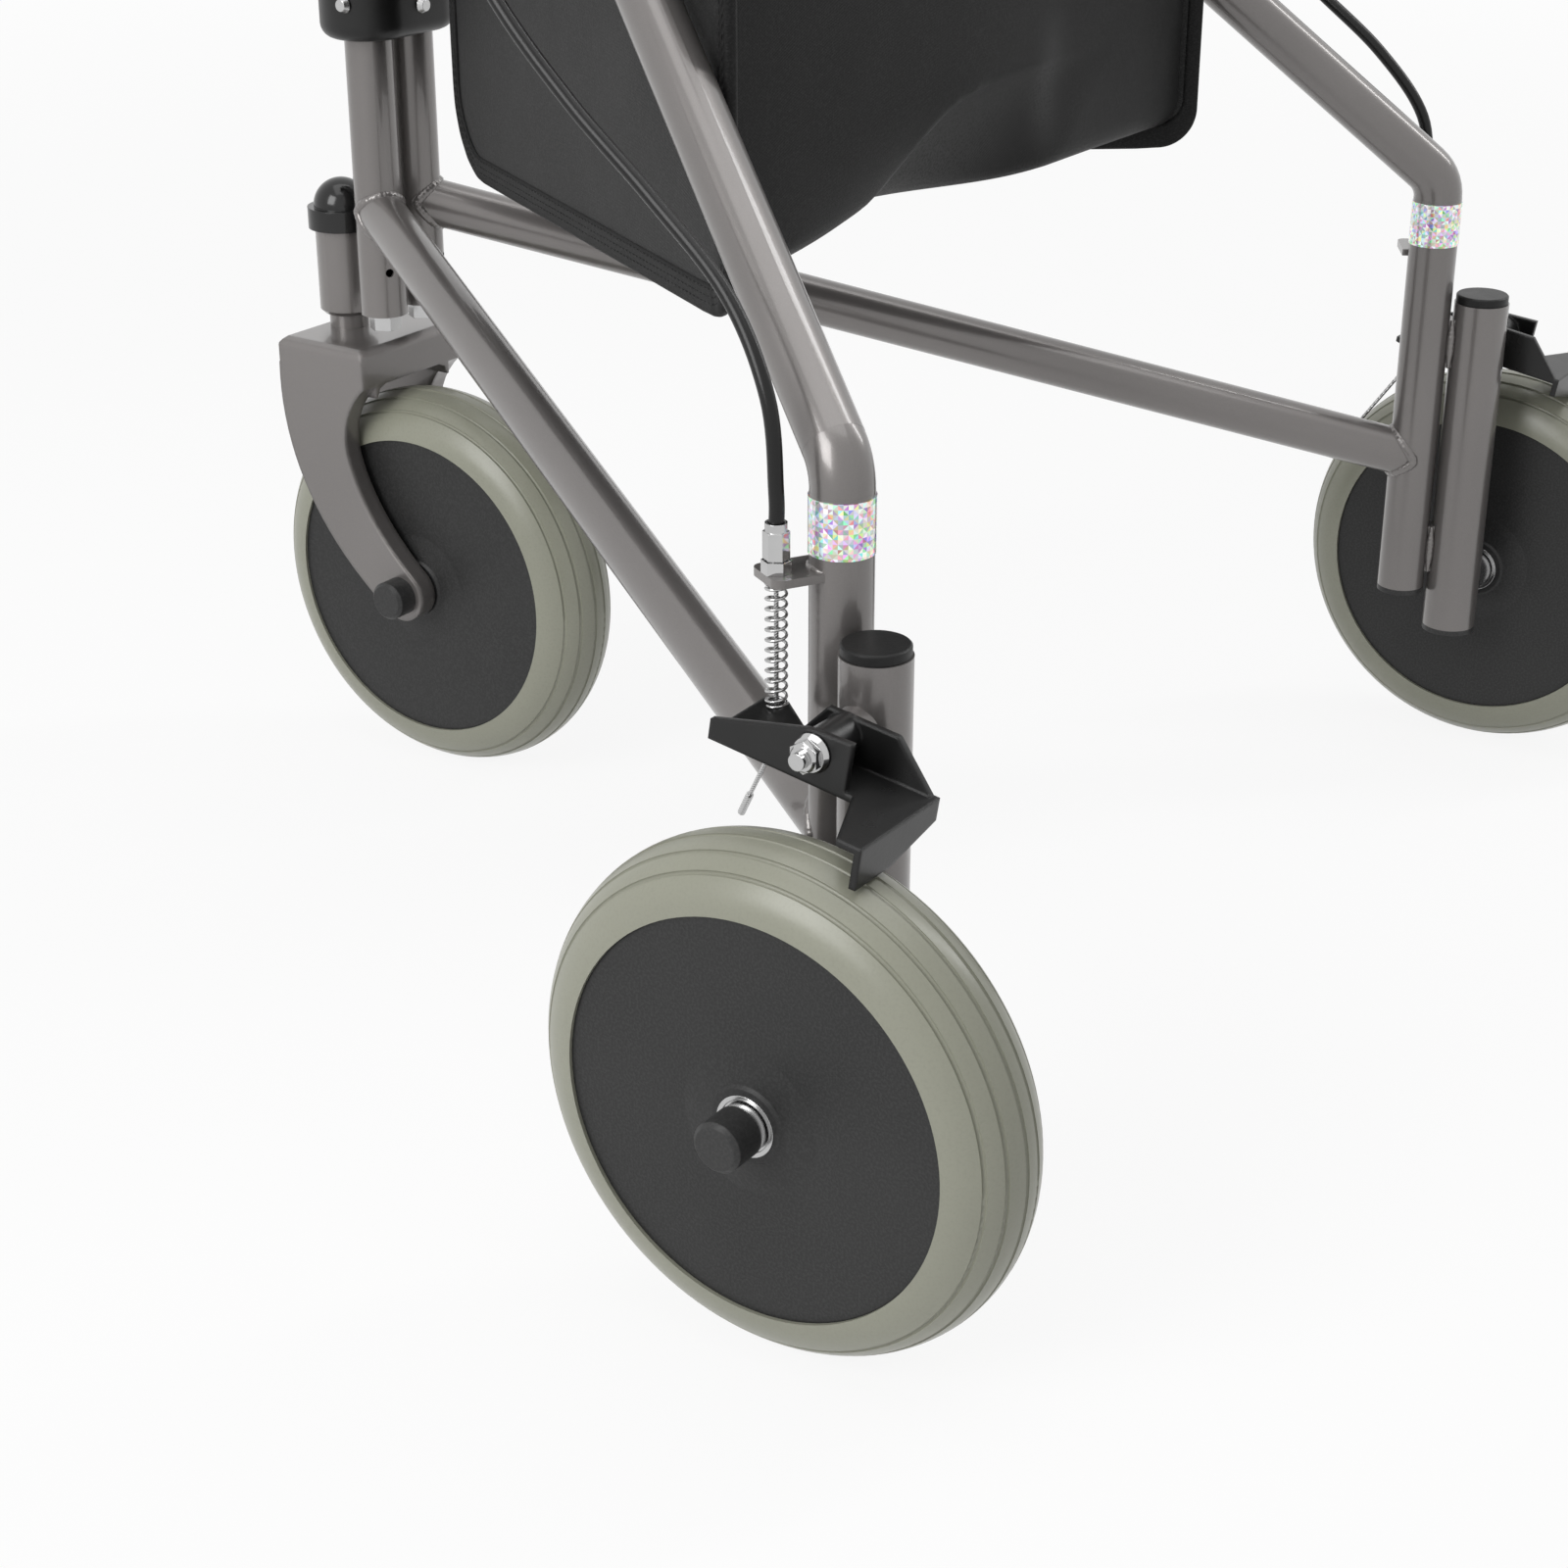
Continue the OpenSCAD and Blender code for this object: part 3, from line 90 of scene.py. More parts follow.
class Shader:
    """A principled material whose textures are built from nodes in the row frame."""

    def __init__(self, name, **sockets):
        self.mat = bpy.data.materials.new(name)
        self.mat.use_nodes = True
        self.tree = self.mat.node_tree
        self.bsdf = self.tree.nodes["Principled BSDF"]
        for key, value in sockets.items():
            self.bsdf.inputs[key.replace("_", " ")].default_value = value
        self.coord = self.tree.nodes.new("ShaderNodeTexCoord").outputs["Object"]

    def put(self, value, socket):
        if hasattr(value, "links"):
            self.tree.links.new(value, socket)
        else:
            socket.default_value = value

    def node(self, kind, values=(), out=0, **props):
        n = self.tree.nodes.new(kind)
        for key, value in props.items():
            setattr(n, key, value)
        for key, value in dict(values).items():
            self.put(value, n.inputs[key])
        return n.outputs[out]

    def noise(self, scale, detail=2.0):
        return self.node("ShaderNodeTexNoise", {"Vector": self.coord, "Scale": scale, "Detail": detail})

    def math(self, op, a, b=None):
        return self.node("ShaderNodeMath", {0: a} if b is None else {0: a, 1: b}, operation=op)

    def span(self, value, low, high, a=0.0, b=1.0):
        return self.node("ShaderNodeMapRange", {"Value": value, "From Min": a, "From Max": b,
                                                "To Min": low, "To Max": high})

    def mix(self, fac, a, b):
        n = self.tree.nodes.new("ShaderNodeMix")
        n.data_type = "RGBA"
        self.put(fac, n.inputs[0])
        self.put(a, n.inputs[6])
        self.put(b, n.inputs[7])
        return n.outputs[2]

    def xyz(self, vector=None):
        n = self.tree.nodes.new("ShaderNodeSeparateXYZ")
        self.put(vector or self.coord, n.inputs[0])
        return n.outputs

    def color(self, value):
        self.put(value, self.bsdf.inputs["Base Color"])

    def rough(self, value):
        self.put(value, self.bsdf.inputs["Roughness"])

    def bump(self, height, strength, distance, edge=0.0):
        """Fine relief, over edges that are rounded by the given radius."""
        n = self.tree.nodes.new("ShaderNodeBump")
        self.put(height, n.inputs["Height"])
        n.inputs["Strength"].default_value = strength
        n.inputs["Distance"].default_value = distance
        if edge:
            bevel = self.tree.nodes.new("ShaderNodeBevel")
            bevel.samples = 4
            bevel.inputs["Radius"].default_value = edge
            self.tree.links.new(bevel.outputs[0], n.inputs["Normal"])
        self.tree.links.new(n.outputs[0], self.bsdf.inputs["Normal"])


def grey(v, tint=(1.0, 1.0, 1.0)):
    return (v * tint[0], v * tint[1], v * tint[2], 1.0)


def frame_paint(name, edge):
    """Warm grey metallic lacquer: a very fine flake under a clear coat."""
    s = Shader(name, Metallic=0.5, Specular_IOR_Level=0.3, Coat_Weight=0.6, Coat_Roughness=0.08)
    warm = (1.05, 0.985, 0.955)
    soft = s.mix(s.span(s.noise(7.0), 0.0, 1.0, 0.35, 0.65), grey(0.168, warm), grey(0.192, warm))
    flake = s.span(s.noise(5200.0, 1.0), 0.0, 0.5, 0.45, 0.75)
    s.color(s.mix(flake, soft, grey(0.235, warm)))
    s.rough(s.span(s.noise(40.0, 3.0), 0.27, 0.35))
    s.bump(s.noise(260.0, 2.0), 0.03, 0.0006, edge)
    return s.mat


def black_paint():
    """Thick black enamel of the pressed brake arms, rounded over their edges."""
    s = Shader("black_paint", Specular_IOR_Level=0.35)
    s.color(s.mix(s.span(s.noise(30.0), 0.0, 1.0, 0.3, 0.7), grey(0.009), grey(0.014)))
    s.rough(s.span(s.noise(90.0, 3.0), 0.24, 0.34))
    s.bump(s.noise(700.0, 2.0), 0.07, 0.0004, 0.0016)
    return s.mat


def plated(name, value, low, high, grain):
    """Plated metal of one shade, with its roughness between low and high."""
    s = Shader(name, Metallic=1.0)
    s.color(s.mix(s.span(s.noise(60.0), 0.0, 1.0, 0.3, 0.7), grey(value * 0.9), grey(value)))
    s.rough(s.span(s.noise(grain, 3.0), low, high))
    s.bump(s.noise(grain * 3, 2.0), 0.03, 0.0003, 0.0004)
    return s.mat


def stranded(name):
    """Bare steel wire, with the slant of its strands."""
    s = Shader(name, Metallic=1.0)
    x, y, z = s.xyz()
    slant = s.math("ADD", s.math("MULTIPLY", z, 6400.0), s.math("MULTIPLY", s.math("SUBTRACT", x, y), 3600.0))
    strand = s.math("SINE", slant)
    s.color(s.mix(s.span(strand, 0.0, 1.0, -1.0, 0.4), grey(0.38), grey(0.58)))
    s.rough(s.span(s.noise(300.0), 0.22, 0.34))
    s.bump(strand, 0.25, 0.0002)
    return s.mat


def moulded(name, low, high, rough, grain, strength, edge=0.0007, speckle=0.0, **sockets):
    """Moulded plastic: broad shades, a fine grain and, where given, paler specks."""
    s = Shader(name, **sockets)
    base = s.mix(s.span(s.noise(14.0, 3.0), 0.0, 1.0, 0.3, 0.7), grey(low), grey(high))
    if speckle:
        base = s.mix(s.span(s.noise(grain, 1.0), 0.0, speckle, 0.42, 0.66), base, grey(high * 2))
    s.color(base)
    s.rough(s.span(s.noise(120.0, 2.0), rough - 0.05, rough + 0.06))
    s.bump(s.noise(grain, 2.0), strength, 0.0004, edge)
    return s.mat


def cap_plastic():
    """Black caps: the ones on the axles are greyer than the ones in the tubes."""
    s = Shader("cap_plastic", Specular_IOR_Level=0.28)
    z, axle_top = s.xyz()[2], 0.13
    in_tube = s.mix(s.span(s.noise(14.0, 3.0), 0.0, 1.0, 0.3, 0.7), grey(0.007), grey(0.011))
    on_axle = s.mix(s.span(s.noise(900.0, 1.0), 0.0, 1.0, 0.4, 0.7), grey(0.034), grey(0.046))
    s.color(s.mix(s.math("LESS_THAN", z, axle_top), in_tube, on_axle))
    s.rough(s.span(s.noise(120.0, 2.0), 0.34, 0.46))
    s.bump(s.noise(900.0, 2.0), 0.12, 0.0004, 0.0007)
    return s.mat


def tyre_rubber():
    """Grey-green solid rubber with fine darker specks."""
    s = Shader("grey_tyre", Specular_IOR_Level=0.5)
    olive = (0.99, 1.0, 0.80)
    broad = s.mix(s.span(s.noise(9.0, 3.0), 0.0, 1.0, 0.3, 0.7), grey(0.285, olive), grey(0.32, olive))
    s.color(s.mix(s.span(s.noise(900.0, 1.0), 0.0, 0.25, 0.45, 0.75), broad, grey(0.24, olive)))
    s.rough(s.span(s.noise(35.0, 3.0), 0.26, 0.36))
    s.bump(s.noise(600.0, 3.0), 0.06, 0.0005)
    return s.mat


def bag_cloth(name, low, high, crease=None):
    """Coated cloth: a fine plain weave under a thin film, with broad rubbed patches and, where given, a
    painted highlight along the fold.
    """
    s = Shader(name, Sheen_Weight=0.02, Sheen_Roughness=0.5, Specular_IOR_Level=0.1)
    x, y, z = s.xyz()
    run = s.math("ADD", s.math("MULTIPLY", x, 0.53), s.math("MULTIPLY", y, 0.85))
    across = s.math("SUBTRACT", s.math("MULTIPLY", x, 0.85), s.math("MULTIPLY", y, 0.53))
    thread = 0.0011
    pitch = 2 * math.pi / thread
    warp = s.math("SINE", s.math("MULTIPLY", s.math("ADD", run, across), pitch))
    weft = s.math("SINE", s.math("MULTIPLY", z, pitch))
    weave = s.math("MULTIPLY", warp, weft)
    wear_and_fold_light = s.span(s.noise(11.0, 4.0), 0.0, 1.0, 0.3, 0.75)
    base = s.mix(wear_and_fold_light, grey(low), grey(high))
    if crease:
        # painted highlight: the base turns towards this grey where the sheet's attribute marks the fold
        base = s.mix(s.node("ShaderNodeAttribute", out=2, attribute_name="crease"), base, grey(crease))
    base = s.mix(s.span(s.noise(1000.0, 1.0), 0.0, 0.5, 0.45, 0.68), base, grey(high * 1.9))
    s.color(s.mix(s.span(weave, 0.0, 0.28, -1.0, 1.0), base, grey(high * 1.25)))
    s.rough(s.span(s.noise(25.0, 3.0), 0.46, 0.58))
    s.bump(s.math("ADD", s.math("MULTIPLY", weave, 0.7), s.noise(420.0, 2.0)), 0.25, 0.0004)
    return s.mat


def prism_film(name, centre):
    """Prismatic film: squares of eight triangles round the tube, each with its own colour and a faint glow of
    it as painted light.
    """
    s = Shader(name, Metallic=0.6, Roughness=0.16, Coat_Weight=0.8, Coat_Roughness=0.04)
    x, y, z = s.xyz()
    film_r, cell = 0.0113, 0.0034
    turn = s.math("ARCTAN2", s.math("SUBTRACT", y, centre[1]), s.math("SUBTRACT", x, centre[0]))
    u = s.math("MULTIPLY", turn, film_r / cell)
    v = s.math("MULTIPLY", z, 1 / cell)
    fu = s.math("SUBTRACT", s.math("FRACT", u), 0.5)
    fv = s.math("SUBTRACT", s.math("FRACT", v), 0.5)
    sector = s.math("FLOOR", s.math("MULTIPLY", s.math("ARCTAN2", fv, fu), 4 / math.pi))
    key = s.node("ShaderNodeCombineXYZ", {0: s.math("FLOOR", u), 1: s.math("FLOOR", v), 2: sector})
    rand = s.tree.nodes.new("ShaderNodeTexWhiteNoise")
    s.put(key, rand.inputs["Vector"])
    pick = s.xyz(rand.outputs["Color"])
    shade = s.node("ShaderNodeCombineColor", {0: rand.outputs["Value"], 1: s.span(pick[1], 0.05, 0.7),
                                              2: s.span(pick[2], 0.42, 1.0)}, mode="HSV")
    s.color(shade)
    # painted light: each triangle also glows faintly in its own colour, though the film is no lamp
    s.put(shade, s.bsdf.inputs["Emission Color"])
    s.bsdf.inputs["Emission Strength"].default_value = 0.25
    s.bump(s.node("ShaderNodeTexWhiteNoise", {"Vector": key}), 0.3, 0.0004)
    return s.mat


mats = {
    "frame_paint": frame_paint("frame_paint", 0.0),
    "fork_paint": frame_paint("fork_paint", 0.0035),
    "black_paint": black_paint(),
    "zinc_steel": plated("zinc_steel", 0.54, 0.18, 0.3, 120.0),
    "chrome_fittings": plated("chrome_fittings", 0.52, 0.06, 0.13, 100.0),
    "black_plastic": moulded("black_plastic", 0.010, 0.016, 0.36, 900.0, 0.08, Specular_IOR_Level=0.35),
    "block_plastic": moulded("block_plastic", 0.010, 0.016, 0.34, 700.0, 0.08, edge=0.004,
                             Specular_IOR_Level=0.35),
    "gloss_plastic": moulded("gloss_plastic", 0.010, 0.014, 0.14, 400.0, 0.02, Specular_IOR_Level=0.45),
    "wheel_plastic": moulded("wheel_plastic", 0.015, 0.021, 0.44, 1000.0, 0.22, speckle=0.4,
                             Specular_IOR_Level=0.35),
    "cap_plastic": cap_plastic(),
    "grey_tyre": tyre_rubber(),
    "cable_sheath": moulded("cable_sheath", 0.010, 0.015, 0.24, 500.0, 0.05, Specular_IOR_Level=0.28),
    "grip_rubber": moulded("grip_rubber", 0.012, 0.018, 0.62, 700.0, 0.2, Specular_IOR_Level=0.3),
    "bag_vinyl": bag_cloth("bag_vinyl", 0.022, 0.029),
    "wire": stranded("wire_strands"),
}
own_finish = {
    "front_axle_caps": "cap_plastic", "left_plastic_caps": "cap_plastic", "right_plastic_caps": "cap_plastic",
    "left_brake_wire": "wire", "right_brake_wire": "wire", "head_cap": "gloss_plastic",
    "front_fork": "fork_paint", "fork_stem": "frame_paint",
    "upper_hinge_block": "block_plastic",
}
slot_of = {p["node"]: p["material_slot"] for p in frame["record"]["subparts"]}
for node, obj in frame["nodes"].items():
    side = -1 if node.startswith("right_") else 1
    name = slot_of[node]
    if name == "reflector_film":
        mat = prism_film("reflector_film_" + node.split("_")[0], at(RUN_REAR, 0, 0, side))
    else:
        mat = mats[own_finish.get(node, name)]
    obj.data.materials.clear()
    obj.data.materials.append(mat)


# Mesh helpers


def mesh_object(name, verts, faces, mat, smooth=True):
    """A new object of one material in the scene."""
    mesh = bpy.data.meshes.new(name)
    mesh.from_pydata([tuple(v) for v in verts], [], faces)
    mesh.update()
    obj = bpy.data.objects.new(name, mesh)
    scene.collection.objects.link(obj)
    obj.data.materials.append(mat)
    if smooth:
        mesh.polygons.foreach_set("use_smooth", [True] * len(mesh.polygons))
    return obj


def recalc(obj):
    """Turn all the faces outward."""
    bm = bmesh.new()
    bm.from_mesh(obj.data)
    bmesh.ops.recalc_face_normals(bm, faces=bm.faces)
    bm.to_mesh(obj.data)
    bm.free()
    return obj


def frames_along(path, up=Vector((0.3, 1.0, 0.2))):
    """The direction, and one side carried without twist, at each point of a path."""
    out = []
    n = None
    for i in range(len(path)):
        d = (path[min(i + 1, len(path) - 1)] - path[max(i - 1, 0)]).normalized()
        n = d.cross(up).normalized() if n is None else (n - d * n.dot(d)).normalized()
        out.append((d, n, d.cross(n)))
    return out


def sweep(path, section):
    """Verts and faces of a closed section, given as (side, up) pairs, carried along a path."""
    verts, faces = [], []
    count = len(section)
    for p, (d, n, b) in zip(path, frames_along(path)):
        verts += [p + n * s + b * t for s, t in section]
    for i in range(len(path) - 1):
        for j in range(count):
            k = (j + 1) % count
            faces.append((i * count + j, i * count + k, (i + 1) * count + k, (i + 1) * count + j))
    faces.append(tuple(range(count))[::-1])
    last = (len(path) - 1) * count
    faces.append(tuple(last + j for j in range(count)))
    return verts, faces


def tube(name, path, r, sides, mat):
    """A round rod along a path."""
    turns = [2 * math.pi * j / sides for j in range(sides)]
    verts, faces = sweep(path, [(r * math.cos(a), r * math.sin(a)) for a in turns])
    return recalc(mesh_object(name, verts, faces, mat))


def spline(points, k):
    """A smooth line through the points, with k steps between each two."""
    out = []
    n = len(points)
    for i in range(n - 1):
        a, b, c, d = points[max(i - 1, 0)], points[i], points[i + 1], points[min(i + 2, n - 1)]
        for j in range(k):
            t = j / k
            out.append(0.5 * (2 * b + t * (c - a) + t * t * (2 * a - 5 * b + 4 * c - d)
                              + t * t * t * (3 * b - a - 3 * c + d)))
    out.append(points[-1])
    return out


# Brake cables and springs, on the routes of the construction
SPRING_RUN, STOP_OFF, STOP_Z, STOP_T = 0.4763, 0.023, 0.2565, 0.003
CABLE_R, CABLE_DROP = 0.0027, 0.021
HANDLE_RISE = math.radians(10)
HANDLE_S0 = (0.049581, 0.851088)
HOUSING_S = 0.208
cable_base = STOP_Z + STOP_T + 0.01585
CABLE = [
    (SPRING_RUN, STOP_OFF, cable_base), (SPRING_RUN, STOP_OFF, cable_base + 0.012),
    (0.472, 0.024, 0.318), (0.450, 0.028, 0.347), (0.419, 0.041, 0.374), (0.390, 0.057, 0.401),
    (0.362, 0.072, 0.433), (0.332, 0.083, 0.474), (0.300, 0.088, 0.524), (0.268, 0.087, 0.582),
    (0.240, 0.080, 0.644), (0.214, 0.068, 0.706), (0.194, 0.052, 0.762), (0.182, 0.034, 0.806),
    (0.182, 0.017, 0.838), (0.194, 0.005, 0.858),
]


def handle_at(s, h):
    """Run and height of a point s along the handle's grip and h above its axis."""
    return (HANDLE_S0[0] + s * math.cos(HANDLE_RISE) - h * math.sin(HANDLE_RISE),
            HANDLE_S0[1] + s * math.sin(HANDLE_RISE) + h * math.cos(HANDLE_RISE))


route = list(CABLE)
for s in (HOUSING_S - 0.020, HOUSING_S - 0.008, HOUSING_S + 0.004):
    run, z = handle_at(s, -CABLE_DROP)
    route.append((run, 0.0, z))
for side, word in ((1, "left"), (-1, "right")):
    path = spline([at(*p, side) for p in route], 10)
    cable = tube(word + "_brake_cable_sheath", path, CABLE_R, 14, mats["cable_sheath"])
    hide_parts(word + "_brake_cable")
    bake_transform(cable)

SPRING_R, SPRING_WIRE, COILS, COIL_STEPS = 0.00345, 0.0011, 13, 28
for side, word in ((1, "left"), (-1, "right")):
    node_lo, node_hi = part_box(word + "_brake_spring")
    low, high = node_lo.z + SPRING_WIRE / 2, node_hi.z - SPRING_WIRE / 2
    centre = at(SPRING_RUN, STOP_OFF, 0, side)
    pitch_end = SPRING_WIRE * 1.5
    pitch = (high - low - 2 * pitch_end) / (COILS - 2)
    path = []
    for i in range(COILS * COIL_STEPS + 1):
        q = i / COIL_STEPS
        if q < 1:
            z = q * pitch_end
        elif q > COILS - 1:
            z = (high - low) - (COILS - q) * pitch_end
        else:
            z = pitch_end + (q - 1) * pitch
        a = 2 * math.pi * q - side * math.pi / 6
        path.append(centre + Vector((side * SPRING_R * math.cos(a), SPRING_R * math.sin(a), low + z)))
    spring = tube(word + "_return_spring", path, SPRING_WIRE / 2, 10, mats["chrome_fittings"])
    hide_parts(word + "_brake_spring")
    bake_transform(spring)


# Lower hinge block: rounded edges, bores for the front tubes

BLOCK_R, BLOCK_ROUND, BLOCK_STEPS = 0.0215, 0.0068, 6
BORE_GAP, BORE_STEPS, END_STEPS = 0.00006, 72, 40
BORE_R = TUBE_R + BORE_GAP


def hinge_shell(name, node):
    """A block round both front tubes, with rounded ends and a bore for each tube."""
    low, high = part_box(node)
    rows = []
    for k in range(BLOCK_STEPS + 1):
        a = math.pi / 2 * k / BLOCK_STEPS
        rows.append((BLOCK_R - BLOCK_ROUND * (1 - math.sin(a)), BLOCK_ROUND * (1 - math.cos(a))))
    levels = [(r, low[2] + d) for r, d in rows] + [(r, high[2] - d) for r, d in reversed(rows)]
    bm = bmesh.new()
    rings = []
    for r, z in levels:
        ring = []
        for sign in (1, -1):
            for i in range(END_STEPS + 1):
                a = sign * math.pi / 2 - math.pi * i / END_STEPS
                ring.append(bm.verts.new((sign * FRONT_X + r * math.cos(a), TUBE_Y + r * math.sin(a), z)))
        rings.append(ring)
    turns = [2 * math.pi * i / BORE_STEPS for i in range(BORE_STEPS)]
    bores = []
    for centre in (FRONT_X, -FRONT_X):
        wall = [(centre + BORE_R * math.cos(a), TUBE_Y + BORE_R * math.sin(a)) for a in turns]
        bores.append([[bm.verts.new((x, y, z)) for x, y in wall] for z in (levels[0][1], levels[-1][1])])
    for a, b in list(zip(rings, rings[1:])) + bores:
        for i in range(len(a)):
            k = (i + 1) % len(a)
            bm.faces.new((a[i], a[k], b[k], b[i]))
    for end, ring in ((0, rings[0]), (1, rings[-1])):
        edges = []
        for loop in [ring] + [bore[end] for bore in bores]:
            edges += [bm.edges.get((v, loop[(i + 1) % len(loop)])) for i, v in enumerate(loop)]
        bmesh.ops.triangle_fill(bm, use_beauty=True, use_dissolve=False, edges=edges)
    bmesh.ops.recalc_face_normals(bm, faces=bm.faces)
    mesh = bpy.data.meshes.new(name)
    bm.to_mesh(mesh)
    bm.free()
    mesh.polygons.foreach_set("use_smooth", [True] * len(mesh.polygons))
    mesh.set_sharp_from_angle(angle=math.radians(40))
    obj = bpy.data.objects.new(name, mesh)
    scene.collection.objects.link(obj)
    mesh.materials.append(mats["black_plastic"])
    return obj


hinge = hinge_shell("lower_hinge_shell", "lower_hinge_block")
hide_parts("lower_hinge_block")
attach(hinge, "head")

# Weld beads where the tubes of a side frame meet
RAIL_R, RAIL_FRONT_Z, RAIL_REAR_Z = 0.011, 0.2778, 0.1607
WELD_SINK, TUBE_WELD_R, STOP_WELD_R, SEAM_WELD_R = 0.0010, 0.0027, 0.0017, 0.0021
WELD_H, WELD_LOW, WELD_HIGH, SEAM_OFF = 0.023, 0.103, 0.2055, 0.0046
STOP_ARC_R, STOP_ARC_FROM, STOP_ARC_TO, STOP_ARC_STEPS = 0.0106, 60, 144, 30
RIPPLE_PITCH, RIPPLE_SHARE, SEAM_STEPS = 0.0021, 0.05, 40


def bead(name, line, r, closed, side, word):
    """A painted weld bead along points of a side frame, with the ripple of its passes."""
    path = [at(*p, side) for p in line]
    count, sides = len(path), 8
    verts, faces = [], []
    n = None
    length = 0.0
    for i, p in enumerate(path):
        before = path[i - 1] if closed or i else path[0]
        after = path[(i + 1) % count] if closed or i + 1 < count else path[-1]
        d = (after - before).normalized()
        n = d.cross(Vector((0.31, 0.47, 0.83))).normalized() if n is None else (n - d * n.dot(d)).normalized()
        b = d.cross(n)
        length += (p - path[i - 1]).length if i else 0.0
        fat = r * (1 + RIPPLE_SHARE * math.sin(length * 2 * math.pi / RIPPLE_PITCH))
        if not closed:
            fat *= 0.35 + 0.65 * min(1.0, 3.0 * min(i, count - 1 - i) / count)
        verts += [p + (n * math.cos(2 * math.pi * j / sides) + b * math.sin(2 * math.pi * j / sides)) * fat
                  for j in range(sides)]
    for i in range(count if closed else count - 1):
        for j in range(sides):
            k, m = (j + 1) % sides, (i + 1) % count
            faces.append((i * sides + j, i * sides + k, m * sides + k, m * sides + j))
    if not closed:
        faces += [tuple(range(sides)), tuple((count - 1) * sides + j for j in range(sides))]
    obj = recalc(mesh_object(word + name, verts, faces, mats["frame_paint"]))
    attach(obj, word + "_frame")


def saddle(run0, z0, run1, z1, r, upright, sign, steps=120):
    """Where a sloping tube meets an upright one: points (run, off, z) round the sloping tube."""
    r -= WELD_SINK
    size = math.hypot(run1 - run0, z1 - z0)
    dr, dz = (run1 - run0) / size, (z1 - z0) / size
    line = []
    for i in range(steps):
        a = 2 * math.pi * i / steps
        off, lift = r * math.cos(a), r * math.sin(a)
        run = upright + sign * math.sqrt(max((TUBE_R - WELD_SINK) ** 2 - off ** 2, 0.0))
        t = (run + lift * dz - run0) / dr
        line.append((run, off, z0 + t * dz + lift * dr))
    return line


for side, word in ((1, "left"), (-1, "right")):
    rail = (0.0, RAIL_FRONT_Z, RUN_REAR, RAIL_REAR_Z)
    bead("_rail_front_weld", saddle(*rail, RAIL_R, 0.0, 1), TUBE_WELD_R, True, side, word)
    bead("_rail_rear_weld", saddle(*rail, RAIL_R, RUN_REAR, -1), TUBE_WELD_R, True, side, word)
    slope_end = SLOPE_TOP_Z - 0.1 * math.tan(SLOPE)
    main = (0.0, SLOPE_TOP_Z, 0.1, slope_end)
    bead("_main_tube_weld", saddle(*main, TUBE_R - 0.0001, 0.0, 1), TUBE_WELD_R, True, side, word)
    sweep_deg = STOP_ARC_TO - STOP_ARC_FROM
    steps = range(STOP_ARC_STEPS + 1)
    turn = [math.radians(STOP_ARC_FROM + sweep_deg * i / STOP_ARC_STEPS) for i in steps]
    for z, name in ((STOP_Z + STOP_T, "_stop_weld_top"), (STOP_Z, "_stop_weld_low")):
        arc = [(RUN_REAR + STOP_ARC_R * math.cos(a), STOP_ARC_R * math.sin(a), z) for a in turn]
        bead(name, arc, STOP_WELD_R, False, side, word)
    seam_run = RUN_REAR + TUBE_R + 0.0007
    for z, name in ((WELD_LOW, "_axle_weld_low"), (WELD_HIGH, "_axle_weld_high")):
        for off, end in ((SEAM_OFF, "_out"), (-SEAM_OFF, "_in")):
            seam = [(seam_run, off, z + WELD_H * i / SEAM_STEPS) for i in range(SEAM_STEPS + 1)]
            bead(name + end, seam, SEAM_WELD_R, False, side, word)


# Bag: two stiff bound side panels and a soft sheet that goes down the front, under and up the back
BAG_Y0, BAG_Y1, BAG_W0, BAG_W1 = -0.1657, 0.0873, 0.022, 0.180
BAG_Z1 = 0.552
BAG_S0, BAG_S1 = -0.0095, 0.3060
BAG_LOW, BAG_TILT = 0.3045, 0.021
PANEL_T, TAPE_T, SHEET_T = 0.0026, 0.0011, 0.0014
SEAM = 0.0085
FRONT_ROUND, BACK_ROUND = 0.037, 0.017
UPRIGHT_STEPS, BOTTOM_STEPS = 24, 30
plane_run = math.hypot(BAG_W1 - BAG_W0, BAG_Y1 - BAG_Y0)
along = Vector(((BAG_W1 - BAG_W0) / plane_run, (BAG_Y1 - BAG_Y0) / plane_run, 0))
outward = Vector((along.y, -along.x, 0))


def bag_low(s):
    return BAG_LOW + BAG_TILT * (s - BAG_S0)


def on_panel(s, z, out, side):
    p = Vector((BAG_W0, BAG_Y0, 0)) + along * s + outward * out
    return Vector((side * p.x, p.y, z))


def panel_line(front, low, back, steps=10):
    """The edge of a side panel inset from its front, bottom and back: down, along and up."""
    r0, r1 = FRONT_ROUND - (front + low) / 2, BACK_ROUND - (low + back) / 3
    s0, s1 = BAG_S0 + front, BAG_S1 - back
    z0, z1 = bag_low(s0 + r0) + low, bag_low(s1) + low
    line = [(s0, BAG_Z1 - (BAG_Z1 - z0 - r0) * i / UPRIGHT_STEPS) for i in range(UPRIGHT_STEPS)]
    for i in range(steps + 1):
        a = math.pi / 2 * i / steps
        line.append((s0 + r0 - r0 * math.cos(a), z0 + r0 - r0 * math.sin(a)))
    for i in range(1, BOTTOM_STEPS):
        s = s0 + r0 + (s1 - s0 - r0 - r1) * i / BOTTOM_STEPS
        line.append((s, bag_low(s) + low))
    for i in range(steps + 1):
        a = math.pi / 2 * i / steps
        line.append((s1 - r1 + r1 * math.sin(a), z1 + r1 - r1 * math.cos(a)))
    for i in range(1, UPRIGHT_STEPS + 1):
        line.append((s1, z1 + r1 + (BAG_Z1 - z1 - r1) * i / UPRIGHT_STEPS))
    return line


